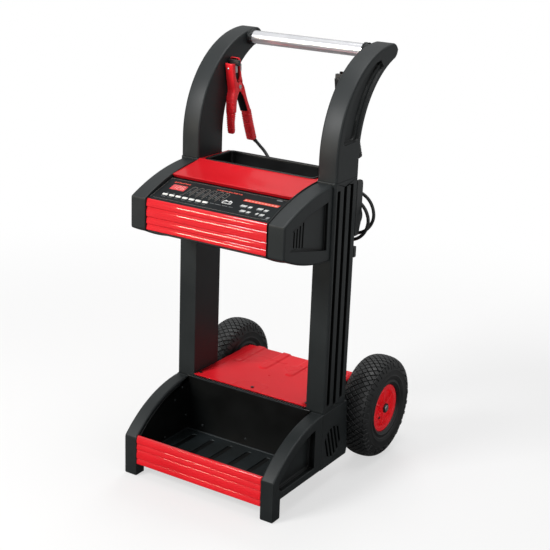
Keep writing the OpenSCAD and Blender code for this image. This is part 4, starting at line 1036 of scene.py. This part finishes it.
def toothStrip(face, top, low, way, side):
    # A sheet bent into saw teeth along the height; way is +1 where the teeth point back.
    z = np.linspace(top, low, 2 * teeth["count"] + 1)
    y = face - way * teeth["deep"] * (np.arange(len(z)) % 2)
    x = np.array([-teeth["half"], teeth["half"]]) + side * clampShape["x"]
    outer = np.stack(np.broadcast_arrays(x[None, :], y[:, None], z[:, None]), -1)
    inner = outer - [0, way * teeth["sheet"], 0]
    return loft(np.stack([outer[:, 0], outer[:, 1], inner[:, 1], inner[:, 0]], 1))


def springSkin(side):
    # A torsion spring: three turns round the pin and two legs, one on each lever.
    py, pz = clampShape["pivot"]
    half, r = spring["half"], spring["r"]
    a = np.radians(np.arange(0, 360 * spring["turns"] + 1, 15.0))
    coil = np.stack([half * (2 * a / a[-1] - 1), py + r * np.cos(a - 1.9), pz + r * np.sin(a - 1.9)], -1)
    bodyLeg = [(-half, py - 9.5, pz - 20), (-half, py - 4.5, pz - 9)]
    leverLeg = [(half, py + 3.8, pz - 9), (half, py + 12, pz - 18)]
    path = np.concatenate([bodyLeg, coil, leverLeg]) + [side * clampShape["x"], 0, 0]
    return loft(tubeRings(path, spring["wireR"], 8))


def makeClamp(name, side, dip, slot):
    shape, jaw = clampShape, f"{name}_jaw"
    solidify(makePiece(f"{name}ClampBody", [channelSkin(lowerLever, side, shape["inner"])], dip,
                       slot=slot, replaces=(f"{name}_clamp_body",)), shape["sheet"])
    solidify(makePiece(f"{name}ClampLever", [channelSkin(upperLever, side, shape["half"])], dip,
                       body=jaw, slot=slot, replaces=(f"{name}_clamp_lever",)), shape["sheet"])
    makePiece(f"{name}BodyGrip", [gripSkin(grips["body"], side)], dip, slot=slot)
    makePiece(f"{name}LeverGrip", [gripSkin(grips["lever"], side)], dip, body=jaw, slot=slot)
    makePiece(f"{name}BodyTeeth", [toothStrip(*teeth["body"], side)], toothCopper, slot="zinc_steel")
    makePiece(f"{name}LeverTeeth", [toothStrip(*teeth["lever"], side)], toothCopper, body=jaw,
              slot="zinc_steel")
    # the lead's boot fills the fork between the pivot and the grip, and a sleeve holds the lead at the foot
    makePiece(f"{name}LeadBoot", [gripSkin(grips["boot"], side)], bootRubberShaded, slot="cord_jacket")
    path = alongPath([(side * x, y, z) for x, y, z in sleeve["path"]], sleeve["rings"])
    tube = tubeRings(path, np.linspace(*sleeve["radius"], sleeve["rings"]), 16)
    makePiece(f"{name}LeadSleeve", [loft(tube)], jacketRubber, slot="cord_jacket")
    # silver liners fold over the flanks of the jaws that face the cart's middle
    flank = side * (shape["x"] - shape["half"])
    for part, outline in liners.items():
        liner = extruded(outline, (flank + side * 0.5, flank - side * 0.7))
        piece = makePiece(f"{name}{part}Liner", [liner], zincPlate, body=jaw if part == "Lever" else "cart",
                          slot="zinc_steel")
        roundEdges(piece, 0.3, 2)
    out, y, z = jawRivet["at"]
    dome = np.array(jawRivet["dome"]) * [1, -1]
    dome = turned(dome, (side * (shape["x"] + out), y, z), "y", 20, wrap=False)
    makePiece(f"{name}LeverRivet", [dome], zincPlate, body=jaw, slot="zinc_steel")
    middle = side * shape["x"]
    pad = extruded(throat["outline"], (middle - throat["half"], middle + throat["half"]))
    roundEdges(makePiece(f"{name}ThroatPad", [pad], dipBlack, slot="clamp_black"), 1)


for name, side, dip, slot in (("red", -1, dipRed, "clamp_red"), ("black", 1, dipBlack, "clamp_black")):
    makeClamp(name, side, dip, slot)

springs = [springSkin(side) for side in (-1, 1)]
makePiece("clampTorsionSprings", springs, zincPlate, slot="zinc_steel", replaces=("clamp_springs",))
print("clamps ready")

# Creases are shares of the height from the top; the band below one leans out, ever less, and ends plumb.
bars = {"trayFrontBar": {"node": "tray_front_bar", "front": 0, "back": 10, "low": 33, "high": 105,
                         "half": 178.5, "creases": (0, 0.25, 0.46, 0.79, 1)},
        "frontPanel": {"node": "front_panel", "front": 14, "back": 21, "low": 622, "high": 695,
                       "half": 163.3, "creases": (0, 0.25, 0.571, 0.8, 1)}}
bandLean = {"down": (0, 0.8, 1.8, 4.5, 7.5, 11, 14), "angle": (62, 34, 23, 17, 12, 7, 0), "steps": 14,
            "foot": 1.1}
# Rings along a bar, as shares of its half length, and how far the face draws back at each.
barEnds = ((-1, 2.2), (-0.998, 0.9), (-0.993, 0.2), (-0.985, 0), (-0.3, 0), (0.3, 0), (0.985, 0),
           (0.993, 0.2), (0.998, 0.9), (1, 2.2))


def barSection(spec):
    # The lean is summed down each band to give its depth; a short foot returns to the next crease.
    line = []
    whole = spec["high"] - spec["low"]
    for top, low in zip(spec["creases"][:-1], spec["creases"][1:]):
        down = np.linspace(0, 1, bandLean["steps"]) ** 1.5 * ((low - top) * whole - bandLean["foot"])
        lean = np.tan(np.radians(np.interp(down, bandLean["down"], bandLean["angle"])))
        out = np.concatenate([[0], np.cumsum((lean[1:] + lean[:-1]) / 2 * np.diff(down))])
        depth = spec["front"] + out[-1] - out
        z = spec["high"] - top * whole - down
        line.append(np.stack([depth, z], -1))
        line.append([(depth[-1] + 0.5, z[-1] - 0.6), (depth[-1] + 1.6, z[-1] - 0.95)])
    return np.concatenate(line + [[(spec["back"], spec["low"]), (spec["back"], spec["high"])]])


def makeBar(name, spec):
    # The section at each ring, its banded face drawn back by the ring's inset.
    section = barSection(spec)
    rings = []
    for x, inset in barEnds:
        moved = section.copy()
        moved[:-2, 0] = np.minimum(moved[:-2, 0] + inset, spec["back"])
        rings.append(np.column_stack([np.full(len(moved), x * spec["half"]), moved]))
    makePiece(name, [loft(rings)], barRed, slot="red_extrusion", replaces=(spec["node"],), sharp=50)


for name, spec in bars.items():
    makeBar(name, spec)
print("banded bars ready")

panel = {"foot": (16, 695), "tilt": 18, "thick": 3}


def onPanel(u, v, w):
    # across, up the slope and off it, to front coordinates
    c, s = math.cos(math.radians(panel["tilt"])), math.sin(math.radians(panel["tilt"]))
    u, v, w = np.broadcast_arrays(np.asarray(u, float), v, w)
    return np.stack([u, panel["foot"][0] + v * c - w * s, panel["foot"][1] + v * s + w * c], -1)


def pillow(u, v, halfU, halfV, low, high, corner=1.5, edge=0.8, lean=0):
    # a plate on the panel, its upper edge rounded by three shrinking rings
    rings = []
    for inset, w in ((0, low), (0, high - edge), (edge * 0.3, high - edge * 0.3), (edge, high)):
        loop = roundedLoop(halfU - inset, halfV - inset, max(corner - inset * 0.5, 0.05), 4)
        rings.append(onPanel(u + loop[:, 0] + lean * loop[:, 1], v + loop[:, 1], w))
    return loft(rings)


def prints(name, shapes, material, high=0.14):
    # flat ink shapes as (across, up, half width, half height, lean)
    skins = [pillow(u, v, halfU, halfV, 0.02, high, 0.2, 0.04, lean) for u, v, halfU, halfV, lean in shapes]
    makePiece(name, skins, material, slot="panel_film")


def stroke(points, width):
    # a thin raised line on the panel through the given places
    return loft(tubeRings(onPanel(*np.array(points, float).T, 0.06), width / 2, 6))


digits = {"1": "bc", "2": "abged", "6": "afgedc"}
segments = {"a": (0, 6.2, 3, 0.7), "g": (0, 0, 3, 0.7), "d": (0, -6.2, 3, 0.7), "b": (3.6, 3.1, 0.7, 2.5),
            "c": (3.6, -3.1, 0.7, 2.5), "e": (-3.6, -3.1, 0.7, 2.5), "f": (-3.6, 3.1, 0.7, 2.5)}
window = {"at": (-118, 64), "half": (20, 10.5), "number": "126"}
keyRow = {"v": 30, "middle": -77, "pitch": 18.4, "count": 7, "half": (7, 3.25), "stand": 1.2}
keyPlaces = [keyRow["middle"] + (i - (keyRow["count"] - 1) / 2) * keyRow["pitch"]
             for i in range(keyRow["count"])]
# Words on the panel: across, up, width.
words = ((72, 46, 9), (89, 45.5, 5), (114, 46.5, 7.5), (131, 45, 5.5), (81, 27, 7.5), (96, 26.5, 5),
         (118, 27.5, 3.2), (131, 26.5, 6))
columns = {"first": -91, "pitch": 17.6, "count": 6, "low": 40, "high": 79, "lean": 0.16}


def makeReadout():
    # three slanted figures with a point after the second, behind a thin red window
    u0, v0 = window["at"]
    shapes = [(u0 + 11.5 * (k - 1) + u, v0 + v, a, b, 0.12) for k, digit in enumerate(window["number"])
              for u, v, a, b in (segments[c] for c in digits[digit])]
    shapes.append((u0 + 6, v0 - 6.2, 0.8, 0.8, 0))
    skins = [pillow(u, v, a, b, 0.38, 0.5, 0.3, 0.05, lean) for u, v, a, b, lean in shapes]
    makePiece("windowDigits", skins, paleInk, slot="panel_film")
    makePiece("displayWindowGlass", [pillow(u0, v0, *window["half"], -panel["thick"], 0.4, 1.2, 0.35)],
              redAcrylic, slot="display_lens", replaces=("display_window",))


def makeLabels():
    # Marks by the keys and lamps, all neutral bars. A word is five slanted bars over a thin line.
    grey = [(u + 1, keyRow["v"] + 8.4, 2.6, 0.5, 0) for u in keyPlaces[:3]]
    grey += [(u, keyRow["v"] - 8.6, 5.2, 0.45, 0) for u in keyPlaces]
    white = []
    for u, v, wide in words:
        white += [(u + d, v, wide / 8, 3.4, 0.35) for d in np.linspace(-wide * 0.7, wide * 0.7, 5)]
        grey.append((u, v - 6.2, wide * 0.8, 0.5, 0))
    grey += [(137, 91, 7, 1.6, 0.2), (150, 20, 3.2, 3.4, 0.3), (146, 12.5, 7, 0.5, 0)]
    grey += [(u, 31.5, wide, 0.6, 0) for u, wide in ((-4, 5), (12, 8), (30, 7), (46, 5))]
    # the outline of a battery with its two posts and signs
    white += [(16, 46, 0.9, 5, 0), (38, 46, 0.9, 5, 0), (27, 41.4, 11, 0.8, 0), (27, 50.6, 11, 0.8, 0),
              (21, 52.6, 2.4, 1.4, 0), (33, 52.6, 2.4, 1.4, 0), (21, 46, 2.4, 0.7, 0), (33, 46, 2.4, 0.7, 0),
              (33, 46, 0.7, 2.4, 0)]
    prints("whiteLabels", white, whiteInk)
    prints("greyLabels", grey, greyInk)
    red = [(-140 + 5.6 * k, 83 + (k % 3) * 0.7, 2.0, 2.2 - (k % 2) * 0.6, 0.3) for k in range(8)]
    red += [(-24 + 6.4 * k, 85.5 + (k % 2) * 0.7, 2.4, 1.1 + (k % 3) * 0.4, 0.3) for k in range(11)]
    red.append((104, 68.5, 45, 4.4, 0.3))
    prints("redLabels", red, redInk)
    bright = [(64 + 8.6 * k, 68.5, 2.4, 2.1 - (k % 3) * 0.5, 0.3) for k in range(10)]
    prints("stripLabels", bright, paleInk, 0.2)


def makeColumns():
    # Each column is a slanted open frame with three lamps: it climbs from the key row and turns over.
    low, high, lean = columns["low"], columns["high"], columns["lean"]
    across = np.array([0, 0, 2.5, 9.5, 12.5, 12.5])
    up = np.array([low, high - 4, high, high, high - 4, low + 7])
    skins, spots = [], []
    for k in range(columns["count"]):
        u = columns["first"] + columns["pitch"] * k
        skins.append(stroke(np.stack([u + across + lean * (up - low), up], -1), 0.85))
        spots += [(u + 6 + lean * (v - low), v, 1.1 + 0.5 * (j % 2), 0.9, 0)
                  for j, v in enumerate((49, 60, 71))]
        spots.append((u + 6 + lean * 25, 55 + 6 * (k % 2), 2.8, 0.5, 0.2))
    skins.append(stroke([(-160, 10), (-160, 96), (159, 96)], 0.45))
    skins.append(stroke([(-152, 10.5), (134, 10.5), (138, 14)], 0.4))
    makePiece("printedFrames", skins, brownInk, slot="panel_film")
    prints("columnLamps", spots, greyInk)


def makeKeys():
    # one domed cap for each place in the row, on a body of its own
    for i, u in enumerate(keyPlaces, 1):
        cap = pillow(u, keyRow["v"], *keyRow["half"], -4, keyRow["stand"], 1.6, 1.1)
        makePiece(f"key{i}Cap", [cap], keySilicone, body=f"key_{i}_cap", slot="key_plastic",
                  replaces=(f"key_{i}",))


roundedCopy("control_fascia", overlayFilm, 0.6, slot="panel_film")
makeReadout()
makeLabels()
makeColumns()
makeKeys()
print("control panel ready")

toolTray = {"middle": (0, 276), "half": (148, 54), "lip": 4, "top": 754, "under": 751, "floor": 693,
            "low": 690.5, "wall": 2.5}


def makeToolTray():
    # One skin: up the outside, over the rolled lip, down the inside to the floor. Each row is how far it
    # stands off the opening, its height and its corners' radius.
    spec = toolTray
    under, top, floor, out, wall = (spec[k] for k in ("under", "top", "floor", "lip", "wall"))
    rows = [(-2, spec["low"], 9), (0, spec["low"] + 2.5, 10), (0, under - 0.4, 10), (out - 0.6, under, 12),
            (out, under + 0.9, 12), (out - 0.3, top - 0.8, 12), (out - 1.2, top, 11.5), (-0.4, top, 10),
            (-1.7, top - 0.7, 9), (-2.4, top - 2.4, 8), (-wall, top - 4, 8), (-wall - 1, floor + 6, 7),
            (-wall - 2.4, floor + 1.6, 6), (-wall - 6, floor, 5)]
    rings = []
    for grow, z, corner in rows:
        loop = roundedLoop(spec["half"][0] + grow, spec["half"][1] + grow, corner, 8)
        rings.append(np.column_stack([loop + spec["middle"], np.full(len(loop), z)]))
    makePiece("toolTrayTub", [loft(rings)], tubBlack, slot="tub_plastic", replaces=("tool_tray",), sharp=48)


# Edge is the height of the small raised edge in front of the tray.
topCover = {"lip": 726.2, "front": 112.1, "level": 218, "top": 751, "edge": 751.9, "sheet": 2.6,
            "half": 163.3, "back": 338, "holeHalf": 148.3, "holeFront": 221.7, "holeBack": 330.3}


def makeTopCover():
    # The sheet's outline in plan is cut in columns: whole in front of the tray, two cheeks beside it and
    # a strip behind it. The front's section has a lip folded under and a small raised edge at the tray.
    spec = topCover
    front, lip, level, top, edge = (spec[k] for k in ("front", "lip", "level", "top", "edge"))
    outer = [(front + 4.6, lip + 0.1), (front + 3.6, lip + 1.8), (front + 1.2, lip + 5.6),
             (front + 0.7, lip + 6.4), (front + 0.9, lip + 7.2), (front + 1.8, lip + 7.7),
             (front + 5.5, lip + 8.3), (level - 7, top - 1.6), (level - 4, top - 0.8), (level - 2, top - 0.3),
             (level - 0.6, top + 0.5), (level + 0.6, edge), (spec["holeFront"] - 0.8, edge),
             (spec["holeFront"], top + 0.4)]
    inner = [(y + 3.2, z) for y, z in outer[:4]] + [(y + 0.6, z - spec["sheet"]) for y, z in outer[4:]]
    section = np.array(outer + inner[::-1])
    half, under = spec["half"], top - spec["sheet"]
    rings = np.array([np.column_stack([np.full(len(section), x), section])
                      for x in (-half, 0.4 - half, half - 0.4, half)])
    rings[[0, 3], :, 1:] = rings[[0, 3], :, 1:] * 0.98 + 0.02 * section.mean(0)
    skins = [loft(rings)]
    inside, out = spec["holeHalf"], half + 0.1
    cheek = [(inside, under), (inside, top - 0.4), (inside + 0.4, top), (out - 0.5, top), (out, top - 0.5),
             (out, under)]
    for side in (-1, 1):
        skins.append(loft([np.array([(side * x, y, z) for x, z in cheek])
                           for y in (spec["holeFront"], 334, spec["back"])]))
    strip = [(spec["holeBack"], under), (spec["holeBack"], top), (spec["back"] - 0.6, top),
             (spec["back"], top - 0.6), (spec["back"], under)]
    skins.append(extruded(strip, (-inside, inside)))
    makePiece("topCoverSheet", skins, foldedRedShaded, slot="red_paint", replaces=("top_cover",), sharp=50)


makeToolTray()
makeTopCover()
print("tool tray ready")

bar = {"y": 423, "z": 1018.5, "r": 16, "reach": 177, "arm": 163.5, "notches": 14}
# Radius, distance from the arm and depth of the notches: a base, a groove and a notched flange.
collar = [(17.6, 0, 0), (19.2, 0, 0), (19.3, 2.6, 0), (18.6, 3.4, 0), (17.8, 4.2, 0), (17.8, 6.4, 0),
          (18.6, 7.2, 0), (19.4, 8, 0), (19.4, 9.4, 0.9), (18.9, 12, 1.6), (17.4, 12, 1), (16.1, 11.4, 0),
          (16.05, 0, 0)]


def makeHandleBar():
    # A line turned about the bar's axis, and collars whose radius drops by cut in each notch.
    r, reach = bar["r"], bar["reach"]
    line = [(r - 2, -reach), (r, -reach), (r, -60), (r, 60), (r, reach), (r - 2, reach)]
    makePiece("chromeHandleBar", [turned(line, (0, bar["y"], bar["z"]), "x", 96)], chromePlate,
              slot="chrome", replaces=("handle_bar",))
    a = np.linspace(0, 2 * np.pi, 168, endpoint=False)
    tooth = 0.5 + 0.5 * np.clip(6 * np.sin(bar["notches"] * a), -1, 1)
    radius, away, cut = (np.array(column)[:, None] for column in zip(*collar))
    radius = radius - cut * tooth
    skins = []
    for side in (-1, 1):
        x = np.broadcast_to(side * (bar["arm"] - away), radius.shape)
        rings = np.stack([x, bar["y"] + radius * np.cos(a), bar["z"] + radius * np.sin(a)], -1)
        skins.append(loft(rings, wrapRings=True))
    makePiece("handleCollars", skins, frameBlack, slot="black_abs", replaces=("bar_collars",), sharp=40)


makeHandleBar()
print("handle bar ready")

# The crest is the side walls' top edge: the centre and radius of its circle, and the angles it spans.
tub = {"half": 178.5, "wall": 3, "low": 50, "floor": 53, "sheet": 1.2, "front": (10.5, 13), "frontHigh": 98,
       "back": 208, "backHigh": 197, "sideHigh": 193, "crest": ((217.8, -110.4), 295.5, 134.55, 91.9),
       "slots": 6, "pitch": 54.8, "slotHalf": 7, "slotFrom": 26, "slotTo": 185, "slotDeep": 2.4,
       "fillet": 2.4}


def bothWays(values):
    # the values and their mirror image
    values = np.array(values, float)
    return np.concatenate([-values, values])


def makeTub():
    spec = tub
    insideX, insideY = spec["half"] - spec["wall"], spec["back"] - spec["wall"]
    # the floor: a height field with six long rounded slots and a fillet up to each wall
    middles = (np.arange(spec["slots"]) - (spec["slots"] - 1) / 2) * spec["pitch"]
    near = bothWays((0, 4, 6, 6.4, 6.8, 7.2, 7.6, 9))
    x = np.unique(np.concatenate([(middles[:, None] + near).ravel(), middles + spec["pitch"] / 2,
                                  bothWays((160, 170, 173, 174.6, insideX))]))
    ends = np.linspace(-1.2, 8, 12)
    y = np.unique(np.concatenate([[spec["front"][1], 14, 16, 20], spec["slotFrom"] + ends,
                                  np.linspace(40, 170, 12), spec["slotTo"] - ends,
                                  [195, 200, 202.5, 204, insideY]]))
    gx, gy = np.meshgrid(x, y)
    away = np.abs(gx[..., None] - middles).min(-1)
    r = spec["slotHalf"]
    past = np.maximum(np.maximum(spec["slotFrom"] + r - gy, gy - spec["slotTo"] + r), 0)
    z = spec["floor"] - spec["slotDeep"] * smooth(r - np.hypot(away, past), -0.4, 0.6)
    wallward = np.minimum(insideX - np.abs(gx), insideY - gy)
    z = z + spec["fillet"] * (1 - smooth(wallward, 0, 3.4)) ** 2
    solidify(makePiece("trayFloor", [sheetGrid(np.stack([gx, gy, z], -1))], tubFloorLit, closed=False,
                       slot="tub_plastic", replaces=("battery_tray",)), spec["sheet"])
    # the walls: two sides under the crest, the back with its rolled rim, the low front and the bottom
    low, front, back = spec["low"], spec["front"][0], spec["back"]
    across = (0.1 - spec["half"], spec["half"] - 0.1)
    outline = np.concatenate([[(back, low), (front, low)], arc(*spec["crest"], 40),
                              [(back, spec["sideHigh"])]])
    walls = [extruded(outline, (side * spec["half"], side * insideX)) for side in (-1, 1)]
    for y0, y1, high in ((insideY, back, spec["backHigh"]), (*spec["front"], spec["frontHigh"])):
        walls.append(extruded([(y0, low), (y1, low), (y1, high - 1), (y1 - 0.8, high), (y0 + 0.8, high),
                               (y0, high - 1)], across))
    high = low + spec["sheet"]
    walls.append(extruded([(front, low), (back, low), (back, high), (front, high)], across))
    makePiece("trayWalls", walls, tubBlack, slot="tub_plastic")


# The strip along the tub's back rim: its teeth, its depths and its heights.
lip = {"pitch": 6.5, "half": 163, "y": (204.6, 213.6), "z": (194.6, 199.5), "toothDeep": 2.4}


def makeSerratedLip():
    # Sections across the strip, their top lower by the tooth's depth in each gap.
    count = int(2 * lip["half"] / lip["pitch"])
    share = np.array([0, 0.08, 0.16, 0.5, 0.58, 0.66])
    x = (lip["pitch"] * (np.arange(count)[:, None] - count / 2 + share)).ravel()
    cut = lip["toothDeep"] * np.tile([0, 0, 1, 1, 1, 0], count)
    (y0, y1), (low, high) = lip["y"], lip["z"]
    rings = [np.array([(at, y0, low), (at, y0, top - 1), (at, y0 + 1, top), (at, y1 - 0.8, top),
                       (at, y1, top - 0.8), (at, y1, low)]) for at, top in zip(x, high - cut)]
    makePiece("serratedLip", [loft(rings)], tubRivet, slot="tub_plastic", sharp=30)


# Depths and heights of the rivets in both side walls, and places across and heights in the back wall.
rivets = {"sides": ((180, 172), (150, 148), (196, 92), (110, 62)), "back": ((-130, 72), (0, 72), (130, 72)),
          "dome": [(0.1, 1.5), (1.4, 1.4), (2.6, 1.0), (3.3, 0.2), (3.4, -0.5), (0.1, -0.5)]}


def makeRivets():
    # domed heads on the inner faces of the walls
    insideX, insideY = tub["half"] - tub["wall"], tub["back"] - tub["wall"]
    dome = np.array(rivets["dome"])
    skins = [turned(dome * [1, -side], (side * insideX, y, z), "x", 18, wrap=False)
             for y, z in rivets["sides"] for side in (-1, 1)]
    skins += [turned(dome * [1, -1], (x, insideY, z), "y", 18, wrap=False) for x, z in rivets["back"]]
    makePiece("trayRivets", skins, tubRivet, slot="tub_plastic")


# Fold is the two depths of the front fold and the height of its foot.
deckShape = {"half": 163.3, "front": 212.2, "back": 465, "top": 202, "sheet": 2, "rimDrop": 0.5,
             "beads": (-126, -48, 30, 108), "beadHalf": 14, "beadFlat": 8.5, "beadHigh": 3, "beadFrom": 340,
             "flangeLow": 178, "foldHalf": 163, "fold": (213.8, 214.8, 191)}


def makeDeck():
    # a height field: four flat-topped beads with round front ends, open at the back edge
    spec = deckShape
    front, back, half = spec["front"], spec["back"], spec["half"]
    near = bothWays((0, 4, 8, 8.8, 9.8, 11, 12.4, 13.6, 14.5))
    middles = np.array(spec["beads"], float)
    x = np.unique(np.concatenate([(middles[:, None] + near).ravel(), np.linspace(-half, half, 15)]))
    y = np.concatenate([front + np.array([0, 0.4, 1.2, 2.8]), np.linspace(220, 330, 8),
                        np.linspace(332, 360, 20), np.linspace(365, 461, 10), back - np.array([1.6, 0.4, 0])])
    gx, gy = np.meshgrid(x, y)
    away = np.abs(gx[..., None] - middles).min(-1)
    past = np.maximum(spec["beadFrom"] + spec["beadHalf"] - gy, 0)
    edge = spec["beadHalf"] - np.hypot(away, past)
    rise = spec["beadHigh"] * smooth(edge, 0, spec["beadHalf"] - spec["beadFlat"])
    z = spec["top"] + rise - spec["rimDrop"] * (1 - smooth(np.minimum(gy - front, back - gy), 0, 1.2))
    solidify(makePiece("deckSheet", [sheetGrid(np.stack([gx, gy, z], -1))], powderRed, closed=False,
                       slot="red_paint", replaces=("deck",)), spec["sheet"])
    # a fold hangs down at the front, behind the tray's lip
    y0, y1, low = spec["fold"]
    top, across = spec["top"], spec["foldHalf"]
    fold = [(y0, low), (y1, low), (y1, top - 1.6), (y1 - 0.4, top - 0.8), (y0, top - 1.6)]
    makePiece("deckFrontFold", [extruded(fold, (-across, across))], powderRed, slot="red_paint")
    # the back flange's top follows the beads' open ends; its foot is straight
    low = spec["flangeLow"]
    section = np.array([(back - 2, low), (back - 0.6, low), (back, low + 0.6), (back, top - 0.8),
                        (back - 0.6, top - 0.4), (back - 2, top - 2)])
    lifted = np.array([(0, 0)] * 3 + [(0, 1)] * 3)
    rings = [np.column_stack([np.full(len(section), at), section + lifted * up])
             for at, up in zip(np.clip(x, -across, across), rise[-1])]
    makePiece("deckFlange", [loft(rings)], powderRed, slot="red_paint")


makeTub()
makeSerratedLip()
makeRivets()
makeDeck()
print("tray and deck ready")

# Inside parts and small fittings keep their built shape, with their sharp edges broken: material, edge
# width in mm and slot.
builtParts = {
    "left_chassis_plate": (powderBlack, 0.8, "black_paint"),
    "right_chassis_plate": (powderBlack, 0.8, "black_paint"),
    "axle": (zincPlate, 1, "zinc_steel"), "retaining_rings": (powderBlack, 0.5, "black_paint"),
    "base_pan": (powderBlack, 0.8, "black_paint"), "rear_cover": (powderBlack, 0.8, "black_paint"),
    "fan_frame": (fanNylon, 0.8, "fan_plastic"), "transformer_core": (coreSteel, 0.3, "core_steel"),
    "transformer_coil": (copperWire, 2, "copper_wire"), "heat_sink": (sinkAluminium, 0.3, "sink_aluminium"),
    "circuit_board": (boardGreen, 0.3, "board_green"), "clamp_hooks": (powderBlack, 1.2, "black_paint"),
    "cord_hooks": (powderBlack, 1, "black_paint"), "cord_glands": (frameBlack, 1, "black_abs"),
    "clamp_pins": (zincPlate, 0.4, "zinc_steel"), "screws": (blackOxide, 0.6, "black_paint")}
for node, (material, width, slot) in builtParts.items():
    roundedCopy(node, material, width, slot=slot)
roundedCopy("fan_rotor", fanNylon, 0.6, body="fan", slot="fan_plastic")
print("inside parts ready")
